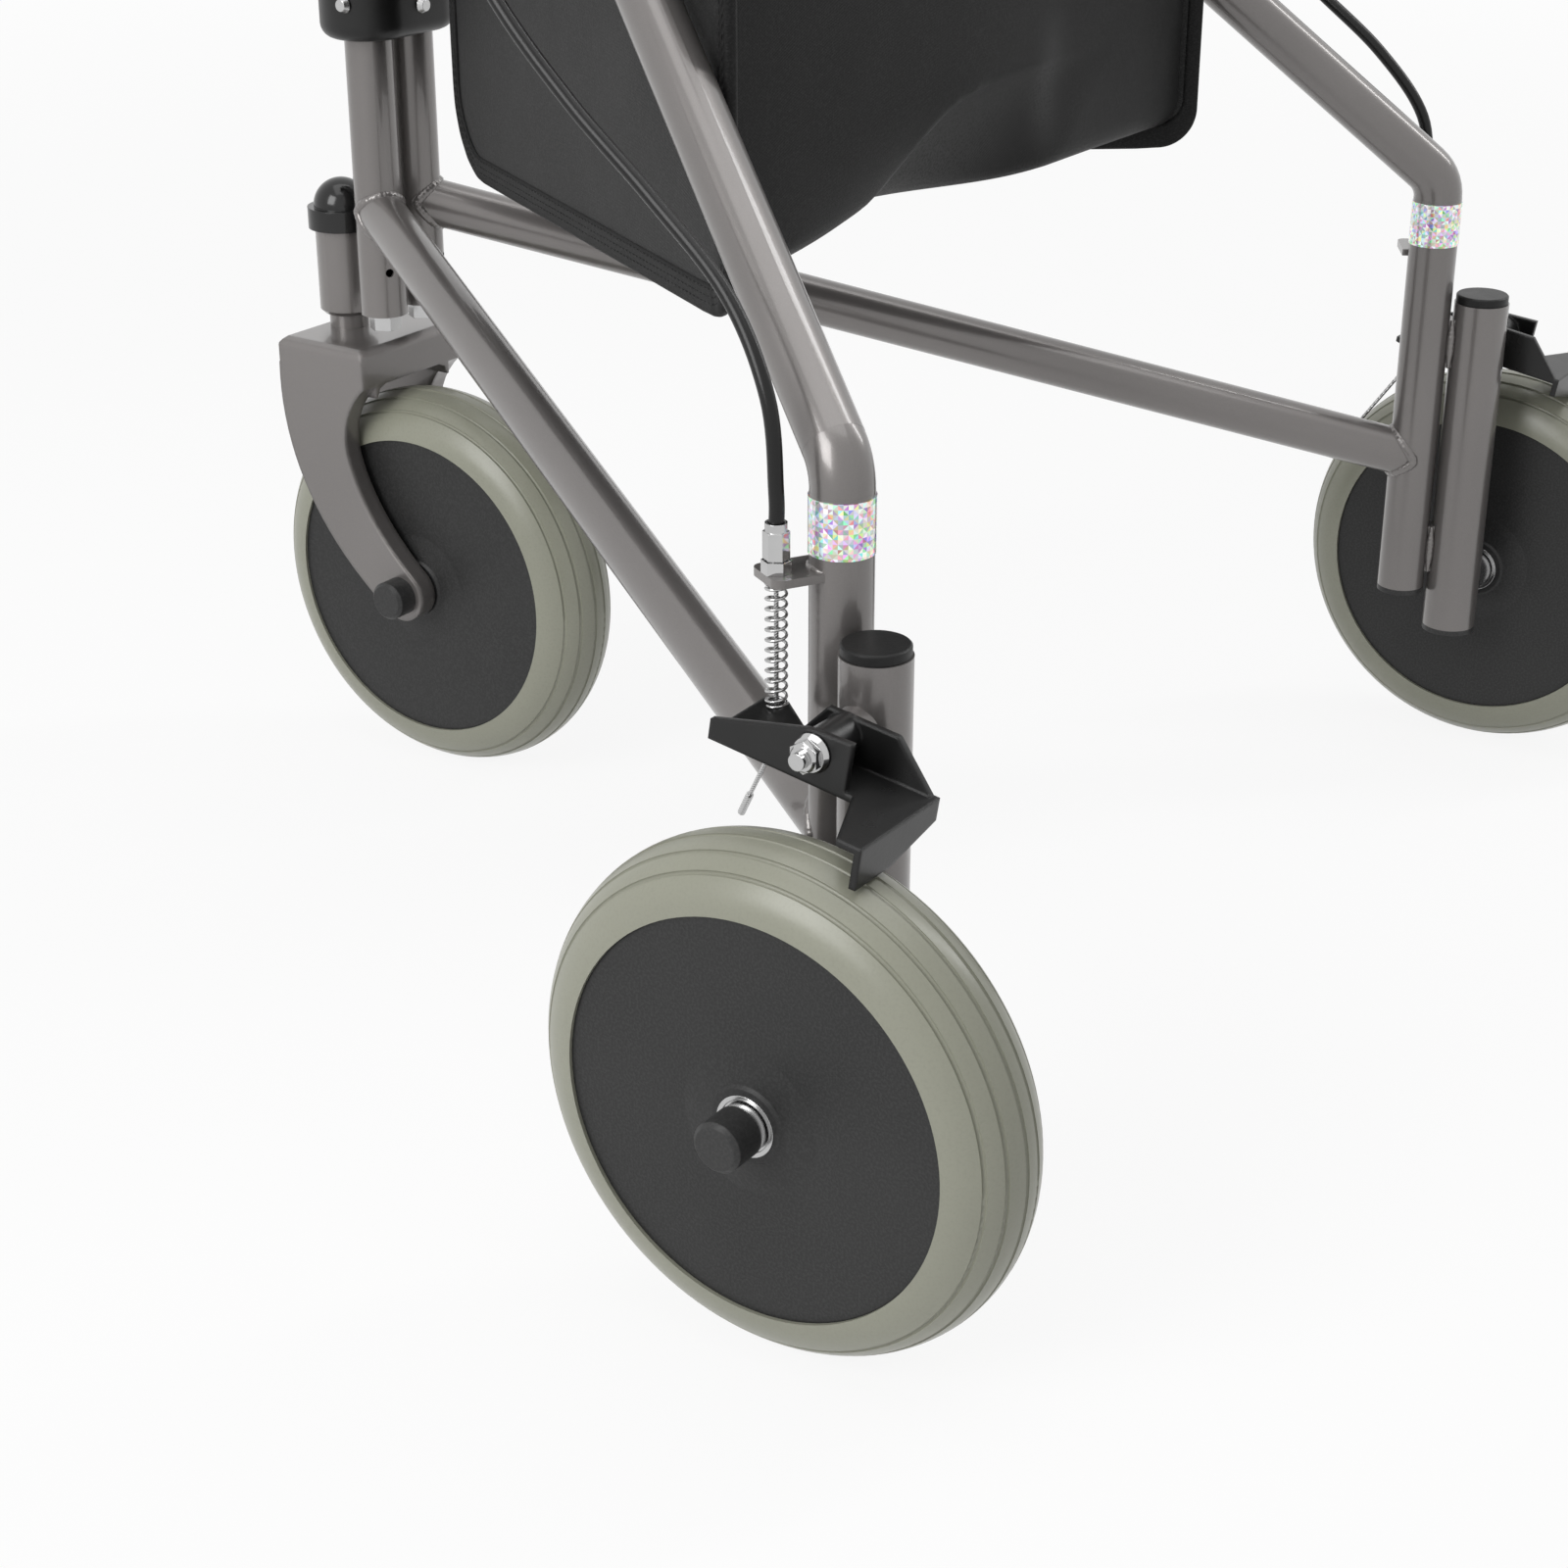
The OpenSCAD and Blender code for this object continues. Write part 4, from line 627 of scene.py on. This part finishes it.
def resample(line, n):
    """n points evenly spaced along a line of pairs."""
    lengths = [0.0]
    for a, b in zip(line, line[1:]):
        lengths.append(lengths[-1] + math.dist(a, b))
    out, j = [], 0
    for i in range(n):
        want = lengths[-1] * i / (n - 1)
        while j < len(lengths) - 2 and lengths[j + 1] < want:
            j += 1
        t = (want - lengths[j]) / max(lengths[j + 1] - lengths[j], 1e-9)
        (s0, z0), (s1, z1) = line[j], line[j + 1]
        out.append((s0 + (s1 - s0) * t, z0 + (z1 - z0) * t))
    return out


# The fold buckled into the bag's back
FOLD_Z0, FOLD_H = 0.3215, 0.0475
FOLD_X0, FOLD_LEAN_X, FOLD_HOOK_X = 0.074, 0.050, 0.032
FOLD_IN, FOLD_STEP, FOLD_END_X = 0.013, 0.014, 0.150
# RIDGE_W is the width of the painted highlight line along the ridge; STREAK_X and STREAK_W place an upright
# painted highlight streak
RIDGE_W, STREAK_X, STREAK_W = 0.0028, -0.050, 0.010
BACK_Y = 0.03

# How far the soft sheet bulges, sags and ripples between the panels
BACK_BULGE, FRONT_BULGE, FLOOR_LIFT, FLOOR_LEAN, TOP_SAG = 0.005, 0.004, 0.003, 0.003, 0.005
BACK_RIPPLE, FLOOR_RIPPLE = 0.0016, 0.0012


def fold_ridge(z):
    """How far up the fold a height is, from 0 to 1, and where its ridge is there."""
    t = min(max((z - FOLD_Z0) / FOLD_H, 0.0), 1.0)
    return t, FOLD_X0 - FOLD_LEAN_X * t - FOLD_HOOK_X * t ** 12


def painted_fold_light(x, z):
    """Painted light on the fold, from 0 to 1: a thin painted highlight along the ridge, painted light in the
    hollow beside it and an upright painted highlight streak.
    """
    t, ridge = fold_ridge(z)
    line = math.exp(-((ridge - x) / RIDGE_W) ** 2) * (1 - t) ** 0.25
    hollow = smooth_step(0.0, 0.008, ridge - x) * (1 - smooth_step(0.030, 0.105, ridge - x)) * (1 - t) ** 0.4
    streak = math.exp(-((x - STREAK_X) / STREAK_W) ** 2)
    streak *= smooth_step(0.325, 0.350, z) * (1 - smooth_step(0.360, 0.400, z))
    return min(0.75 * line + 0.6 * hollow + 0.3 * streak, 1.0)


def back_fold(x, z):
    """How far the back is buckled inward: it leans in to a sharp ridge, steps in, and comes out slowly."""
    t, ridge = fold_ridge(z)
    lean = FOLD_IN * (1 - t)
    if x > ridge:
        return lean * min(max((FOLD_END_X - x) / (FOLD_END_X - ridge), 0.0), 1.0) ** 1.6
    step = FOLD_STEP * (1 - t) ** 0.7 * smooth_step(0.0, 0.011, ridge - x)
    return (lean + step) * (1 - smooth_step(0.012, 0.135, ridge - x))


def soft_point(u, s, z):
    """A point of the soft sheet: u from 1 at the left panel to -1 at the right one."""
    a, b = on_panel(s, z, -PANEL_T, 1), on_panel(s, z, -PANEL_T, -1)
    p = a.lerp(b, (1 - u) / 2)
    belly = 1 - u * u
    share = (s - BAG_S0) / (BAG_S1 - BAG_S0)
    at_back = smooth_step(0.7, 0.98, share)
    at_front = 1 - smooth_step(0.0, 0.12, share)
    low = 1 - smooth_step(0.0, 0.05, z - bag_low(s) - SEAM)
    p.y += at_back * (BACK_BULGE * belly - back_fold(p.x, p.z) * min(belly * 6, 1.0))
    p.y += at_front * FRONT_BULGE * belly
    p.z += low * belly * (FLOOR_LIFT + FLOOR_LEAN * smooth_step(-0.2, 0.4, u))
    p.z -= TOP_SAG * belly * at_back * smooth_step(0.09, 0.0, BAG_Z1 - z)
    ripple = noise.noise(Vector((p.x * 9, p.y * 9, p.z * 7)))
    p += Vector((0, at_back * BACK_RIPPLE, (1 - at_back) * FLOOR_RIPPLE * low)) * ripple * belly
    return p


def bag_sheet():
    """The soft sheet, with points closer together near its seams and the painted light of its fold as an
    attribute.
    """
    line = resample(panel_line(SEAM, SEAM, SEAM), 220)
    across, quarter = 160, math.pi / 2 * 0.999
    verts, faces = [], []
    for s, z in line:
        for i in range(across + 1):
            u = math.sin(quarter * (1 - 2 * i / across)) / math.sin(quarter)
            verts.append(soft_point(u, s, z))
    for r in range(len(line) - 1):
        for i in range(across):
            a = r * (across + 1) + i
            faces.append((a, a + 1, a + across + 2, a + across + 1))
    obj = thicken(mesh_object("bag_sheet", verts, faces, mats["bag_soft"]), SHEET_T)
    # painted light of the fold, on the back only: a painted highlight on the ridge and in a streak, and
    # painted light in the hollow
    wear_and_fold_light = obj.data.attributes.new("crease", "FLOAT", "POINT")
    spots = [v.co for v in obj.data.vertices]
    wear_and_fold_light.data.foreach_set("value", [painted_fold_light(p.x, p.z) if p.y > BACK_Y else 0.0 for p in spots])
    return obj


# Weights that give each face of a sheet its own place in a sorted order
SORT_WEIGHTS = Vector((1.0, 7.13, 53.71))


def thicken(obj, t):
    """Give a sheet its thickness, with its faces in the same order on every run."""
    recalc(obj)
    bm = bmesh.new()
    bm.from_mesh(obj.data)
    bmesh.ops.solidify(bm, geom=bm.faces[:], thickness=t)
    bm.faces.sort(key=lambda f: f.calc_center_median().dot(SORT_WEIGHTS))
    bmesh.ops.recalc_face_normals(bm, faces=bm.faces)
    for f in bm.faces:
        f.smooth = True
    bm.to_mesh(obj.data)
    bm.free()
    return obj


RIM_W = 0.009
PANEL_LIP, PANEL_CROWN, MID_CROWN, PANEL_WAVE = 0.0005, 0.002, 0.0026, 0.0007


def side_panel(side, word):
    """A padded panel with a slight crown and a flat bound rim."""
    line = resample(panel_line(0.0, 0.0, 0.0), 120)
    rings = [0.0, 0.004, RIM_W, 0.010, 0.018, 0.04, 0.08]
    verts, faces = [], []
    mid_s, mid_z = (BAG_S0 + BAG_S1) * 0.52, (BAG_LOW + BAG_Z1) / 2 + 0.02
    for inset in rings:
        for s, z in line:
            ds, dz = mid_s - s, mid_z - z
            far = math.hypot(ds, dz)
            t = min(inset / far, 0.9)
            p = (s + ds * t, min(z + dz * t, BAG_Z1))
            crown = 0.0 if inset <= RIM_W else PANEL_LIP + PANEL_CROWN * smooth_step(0.01, 0.08, inset)
            wave = noise.noise(Vector((p[0] * 14, p[1] * 14, side * 3.0)))
            crown += PANEL_WAVE * wave * smooth_step(0.01, 0.04, inset)
            verts.append(on_panel(p[0], p[1], crown, side))
    n = len(line)
    for k in range(len(rings) - 1):
        for i in range(n - 1):
            faces.append((k * n + i, k * n + i + 1, (k + 1) * n + i + 1, (k + 1) * n + i))
    inner = (len(rings) - 1) * n
    centre = len(verts)
    verts.append(on_panel(mid_s, mid_z, MID_CROWN, side))
    faces += [(inner + i, inner + i + 1, centre) for i in range(n - 1)]
    starts = [k * n for k in range(len(rings))]
    faces.append(tuple([k + n - 1 for k in starts] + [centre] + starts[::-1]))
    return thicken(mesh_object(word + "_bag_panel", verts, faces, mats["bag_vinyl"]), PANEL_T)


# Tape over the front, bottom and back edges, and the rows of stitches in it
TAPE_W = (0.0055, 0.0100, 0.0060)
TAPE_BEND, TAPE_WAVE, TAPE_LIFT = 0.0006, 0.0003, 0.0004
STITCH_ROWS = ((0.0044, 0.0088, 0.0048), (0.0022, 0.0060, 0.0024), (0.0010, 0.0034, 0.0012))
STITCH_OUT, STITCH_LEN, STITCH_PITCH, THREAD_R = 0.0015, 0.0026, 0.0036, 0.00022


def binding(side, word):
    """Tape folded over the panel's edge, a little wavy and wider along the bottom."""
    line, inner = panel_line(0.0, 0.0, 0.0, 24), panel_line(*TAPE_W, 24)
    half = PANEL_T / 2 + TAPE_T
    verts, faces = [], []
    prof = [(0.0, -half), (0.35, -half), (0.8, -half), (1.0, -half + TAPE_BEND), (1.0, -half + TAPE_T),
            (1.0, half - TAPE_T), (1.0, half - TAPE_BEND), (0.8, half), (0.35, half), (0.0, half),
            (-0.12, half * 0.5), (-0.15, 0.0), (-0.12, -half * 0.5)]
    for i, ((s, z), (si, zi)) in enumerate(zip(line, inner)):
        wave = TAPE_WAVE * noise.noise(Vector((i * 0.21, side * 5.0, 0.0)))
        for d, o in prof:
            p = (s + (si - s) * d, min(z + (zi - z) * d, BAG_Z1))
            verts.append(on_panel(p[0], p[1], o - PANEL_T / 2 + wave + TAPE_LIFT, side))
    m = len(prof)
    for i in range(len(line) - 1):
        for j in range(m):
            k = (j + 1) % m
            faces.append((i * m + j, i * m + k, (i + 1) * m + k, (i + 1) * m + j))
    faces.append(tuple(range(m)))
    faces.append(tuple((len(line) - 1) * m + j for j in range(m)))
    return recalc(mesh_object(word + "_bag_binding", verts, faces, mats["bag_binding"]))


def stitches(name, path, n, mat):
    """Short thread loops laid along a path on a face with normal n, each sunk at its ends."""
    verts, faces = [], []
    total, nxt = 0.0, 0.0
    for i in range(len(path) - 1):
        a, b = path[i], path[i + 1]
        seg = (b - a).length
        while nxt <= total + seg:
            p = a.lerp(b, (nxt - total) / max(seg, 1e-9))
            d = (b - a).normalized()
            w = d.cross(n).normalized()
            base = len(verts)
            for k in range(5):
                t = k / 4 - 0.5
                lift = THREAD_R * (0.9 - 3.2 * t * t)
                fat = THREAD_R * (1.0 - 2.2 * t * t)
                for c, q in ((1, 0), (0, 1), (-1, 0), (0, -1)):
                    verts.append(p + d * (t * STITCH_LEN) + w * (c * fat) + n * (lift + q * fat * 0.7))
            for k in range(base, base + 16, 4):
                for j in range(4):
                    m = (j + 1) % 4
                    faces.append((k + j, k + m, k + 4 + m, k + 4 + j))
            faces += [(base + 3, base + 2, base + 1, base), (base + 16, base + 17, base + 18, base + 19)]
            nxt += STITCH_PITCH
        total += seg
    return recalc(mesh_object(name, verts, faces, mat))


# 0.16 is the grey of the painted highlight along the back's fold
mats["bag_soft"] = bag_cloth("bag_soft", 0.011, 0.015, 0.16)
mats["bag_binding"] = bag_cloth("bag_binding", 0.012, 0.017)
mats["bag_thread"] = moulded("bag_thread", 0.010, 0.016, 0.6, 2500.0, 0.3)
mats["strap_webbing"] = bag_cloth("strap_webbing", 0.016, 0.024)

bag_pieces = []
sheet = bag_sheet()
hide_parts("bag")
bag_pieces.append(sheet)
for side, word in ((1, "left"), (-1, "right")):
    panel = side_panel(side, word)
    tape = binding(side, word)
    bag_pieces += [panel, tape]
    out = Vector((side * outward.x, outward.y, 0))
    for k, inset in enumerate(STITCH_ROWS):
        path = [on_panel(s, z, STITCH_OUT, side) for s, z in resample(panel_line(*inset), 300)]
        bag_pieces.append(stitches("%s_bag_stitch_%d" % (word, k), path, out, mats["bag_thread"]))

# Hem round the bag's open top
LONG_STEPS, FRONT_STEPS = 40, 12
rim = []
for i in range(LONG_STEPS + 1):
    rim.append(on_panel(BAG_S0 + (BAG_S1 - BAG_S0) * i / LONG_STEPS, BAG_Z1, -PANEL_T / 2, 1))
for i in range(1, LONG_STEPS + 1):
    rim.append(soft_point(1 - 2 * i / LONG_STEPS, BAG_S1 - SEAM, BAG_Z1))
for i in range(1, LONG_STEPS + 1):
    rim.append(on_panel(BAG_S1 - (BAG_S1 - BAG_S0) * i / LONG_STEPS, BAG_Z1, -PANEL_T / 2, -1))
for i in range(1, FRONT_STEPS + 1):
    rim.append(soft_point(-1 + 2 * i / FRONT_STEPS, BAG_S0 + SEAM, BAG_Z1))
hem_half, hem_deep, hem_round = 0.0026, 0.016, 0.002
hem = [(hem_half, -hem_deep), (hem_half, -hem_round), (hem_half * 0.6, 0.0),
       (-hem_half * 0.6, 0.0), (-hem_half, -hem_round), (-hem_half, -hem_deep)]
verts, faces = [], []
for i, p in enumerate(rim):
    d = (rim[(i + 1) % len(rim)] - rim[i - 1]).normalized()
    n = d.cross(Vector((0, 0, 1))).normalized()
    verts += [p + n * a + Vector((0, 0, b)) for a, b in hem]
for i in range(len(rim)):
    for j in range(len(hem)):
        a, b = i * len(hem), ((i + 1) % len(rim)) * len(hem)
        k = (j + 1) % len(hem)
        faces.append((a + j, a + k, b + k, b + j))
bag_pieces.append(recalc(mesh_object("bag_hem", verts, faces, mats["bag_binding"])))


def shape_area(line):
    """Area inside a line of pairs, closed from its last point to its first."""
    pairs = zip(line, line[1:] + line[:1])
    return abs(sum(a[0] * b[1] - b[0] * a[1] for a, b in pairs)) / 2


panel_area = shape_area(panel_line(0.0, 0.0, 0.0))

for piece in bag_pieces:
    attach(piece, "head")
    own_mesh(piece)

# Straps that hang the bag on the tubes
STRAP_W, STRAP_T, STRAP_GAP = 0.025, 0.0015, 0.0004
STRAP_RUN, FRONT_STRAP_Z = 0.196, 0.5125
TAB_STEP, TAB_SINK, TAB_HALF, TAB_IN = 0.0010, 0.0008, 0.0008, 0.002


def strap(name, ring, wide, thick):
    """A closed strap: ring gives (point, outward), wide its direction across."""
    verts, faces = [], []
    for p, n in ring:
        for a, b in ((-0.5, 0), (-0.5, 1), (0.5, 1), (0.5, 0)):
            verts.append(p + wide * (a * STRAP_W) + n * (b * thick))
    for i in range(len(ring)):
        k = (i + 1) % len(ring)
        for j in range(4):
            m = (j + 1) % 4
            faces.append((i * 4 + j, i * 4 + m, k * 4 + m, k * 4 + j))
    return recalc(mesh_object(name, verts, faces, mats["strap_webbing"], False))


def loop_round(centre, ax, bx, r, steps=40):
    """Points of a circle, each with its outward direction."""
    turns = [2 * math.pi * i / steps for i in range(steps)]
    outs = [ax * math.cos(a) + bx * math.sin(a) for a in turns]
    return [(centre + out * r, out) for out in outs]


gap_r = TUBE_R + STRAP_GAP
for side, word in ((1, "left"), (-1, "right")):
    run = STRAP_RUN + math.cos(SLOPE) * STRAP_W / 2
    axis = (at(1, 0, 0, side) - at(0, 0, 0, side)) * math.cos(SLOPE) - Vector((0, 0, math.sin(SLOPE)))
    axis.normalize()
    out = (at(0, 1, 0, side) - at(0, 0, 0, side)).normalized()
    centre = at(run, 0, SLOPE_TOP_Z - run * math.tan(SLOPE), side)
    loop = strap(word + "_bag_strap", loop_round(centre, out, axis.cross(out), gap_r), axis, STRAP_T)
    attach(loop, word + "_frame")
    tab_ring = []
    for t in range(9):
        tab_ring.append((centre - out * (gap_r + STRAP_T + TAB_STEP * t - TAB_SINK), axis.cross(out)))
    verts, faces = [], []
    for p, n in tab_ring:
        for a, b in ((-0.5, -0.5), (-0.5, 0.5), (0.5, 0.5), (0.5, -0.5)):
            verts.append(p + axis * (a * STRAP_W) + n * (b * STRAP_T))
    for i in range(len(tab_ring) - 1):
        for j in range(4):
            m = (j + 1) % 4
            faces.append((i * 4 + j, i * 4 + m, i * 4 + 4 + m, i * 4 + 4 + j))
    faces += [(3, 2, 1, 0), tuple(len(verts) - 4 + j for j in range(4))]
    tab = recalc(mesh_object(word + "_bag_tab", verts, faces, mats["strap_webbing"], False))
    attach(tab, word + "_frame")

ring = []
for side in (1, -1):
    for i in range(25):
        a = -side * math.pi / 2 + math.pi * i / 24
        n = Vector((math.cos(a), math.sin(a), 0))
        ring.append((Vector((side * FRONT_X, TUBE_Y, FRONT_STRAP_Z)) + n * gap_r, n))
front_strap = strap("bag_front_strap", ring, Vector((0, 0, 1)), STRAP_T)
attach(front_strap, "head")
y0, y1 = TUBE_Y + gap_r + STRAP_T, BAG_Y0 + TAB_IN
z0, z1 = FRONT_STRAP_Z - STRAP_W / 2, FRONT_STRAP_Z + STRAP_W / 2
corners = ((-TAB_HALF, z0), (TAB_HALF, z0), (TAB_HALF, z1), (-TAB_HALF, z1))
verts = [Vector((x, y, z)) for y in (y0, y1) for x, z in corners]
faces = [(0, 1, 2, 3), (7, 6, 5, 4)] + [(j, (j + 1) % 4, (j + 1) % 4 + 4, j + 4) for j in range(4)]
front_tab = recalc(mesh_object("bag_front_tab", verts, faces, mats["strap_webbing"], False))
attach(front_tab, "head")


# Studio


def seen_rays(tree):
    """1 for the rays that show the white background: camera, reflection and glass."""
    rays = tree.nodes.new("ShaderNodeLightPath")
    total = rays.outputs["Is Camera Ray"]
    for word in ("Is Glossy Ray", "Is Transmission Ray"):
        more = tree.nodes.new("ShaderNodeMath")
        more.operation = "MAXIMUM"
        tree.links.new(total, more.inputs[0])
        tree.links.new(rays.outputs[word], more.inputs[1])
        total = more.outputs[0]
    return total


def stage_material(name, value, shadow):
    """Pale ground, white to the camera and in reflections, that keeps the shadow near the object."""
    mat = bpy.data.materials.new(name)
    mat.use_nodes = True
    tree = mat.node_tree
    tree.nodes.clear()
    out = tree.nodes.new("ShaderNodeOutputMaterial")
    mix = tree.nodes.new("ShaderNodeMixShader")
    diffuse = tree.nodes.new("ShaderNodeBsdfDiffuse")
    diffuse.inputs["Color"].default_value = grey(value)
    glow = tree.nodes.new("ShaderNodeEmission")
    glow.inputs["Color"].default_value = grey(1.0)
    glow.inputs["Strength"].default_value = 1.0
    place = tree.nodes.new("ShaderNodeTexCoord")
    reach = tree.nodes.new("ShaderNodeVectorMath")
    reach.operation = "LENGTH"
    tree.links.new(place.outputs["Object"], reach.inputs[0])
    fade = tree.nodes.new("ShaderNodeMapRange")
    for key, number in (("From Min", 1.0), ("From Max", 3.5), ("To Min", 1 - shadow), ("To Max", 1.0)):
        fade.inputs[key].default_value = number
    tree.links.new(reach.outputs["Value"], fade.inputs["Value"])
    part = tree.nodes.new("ShaderNodeMath")
    part.operation = "MULTIPLY"
    tree.links.new(seen_rays(tree), part.inputs[0])
    tree.links.new(fade.outputs[0], part.inputs[1])
    tree.links.new(part.outputs[0], mix.inputs[0])
    tree.links.new(diffuse.outputs[0], mix.inputs[1])
    tree.links.new(glow.outputs[0], mix.inputs[2])
    tree.links.new(mix.outputs[0], out.inputs[0])
    return mat


FLOOR_HALF = 12
floor_corners = [Vector((x * FLOOR_HALF, y * FLOOR_HALF, 0)) for x, y in ((-1, -1), (1, -1), (1, 1), (-1, 1))]
floor = mesh_object("floor", floor_corners, [(0, 1, 2, 3)], stage_material("floor_white", 0.9, 0.11), False)

world = bpy.data.worlds.new("studio")
scene.world = world
world.use_nodes = True
tree = world.node_tree
tree.nodes.clear()
out = tree.nodes.new("ShaderNodeOutputWorld")
back = tree.nodes.new("ShaderNodeBackground")
fill = tree.nodes.new("ShaderNodeBackground")
mix = tree.nodes.new("ShaderNodeMixShader")
back.inputs["Color"].default_value = grey(1.0)
fill.inputs["Color"].default_value = grey(1.0)
fill.inputs["Strength"].default_value = 0.24
tree.links.new(seen_rays(tree), mix.inputs[0])
tree.links.new(fill.outputs[0], mix.inputs[1])
tree.links.new(back.outputs[0], mix.inputs[2])
tree.links.new(mix.outputs[0], out.inputs[0])


def lamp(name, place, target, energy, size, size_y):
    """An area lamp at a place, turned to its target."""
    data = bpy.data.lights.new(name, "AREA")
    data.shape = "RECTANGLE"
    data.energy, data.size, data.size_y = energy, size, size_y
    obj = bpy.data.objects.new(name, data)
    scene.collection.objects.link(obj)
    obj.location = place
    obj.rotation_mode = "QUATERNION"
    obj.rotation_quaternion = (Vector(target) - Vector(place)).to_track_quat("-Z", "Y")
    return obj


lamp("key", (2.3, -0.4, 1.5), (0.05, 0.0, 0.3), 37, 1.3, 1.5)
lamp("top", (0.2, 0.1, 2.4), (0.1, 0.0, 0.2), 18, 2.0, 2.0)
lamp("edge", (-1.3, 1.0, 1.75), (0.2, 0.1, 0.4), 11, 0.22, 1.8)

# Camera of the photograph
cam_data = bpy.data.cameras.new("camera")
cam = bpy.data.objects.new("camera", cam_data)
scene.collection.objects.link(cam)
cam_data.sensor_width = 36.0
cam_data.lens = 64.467
cam_data.clip_start = 0.05
az, el = math.radians(55.8956), math.radians(24.718)
look = Vector((-math.sin(az) * math.cos(el), -math.cos(az) * math.cos(el), -math.sin(el)))
cam.location = (0.990336, 0.662870, 0.582928)
cam.rotation_mode = "QUATERNION"
cam.rotation_quaternion = look.to_track_quat("-Z", "Y")
scene.camera = cam
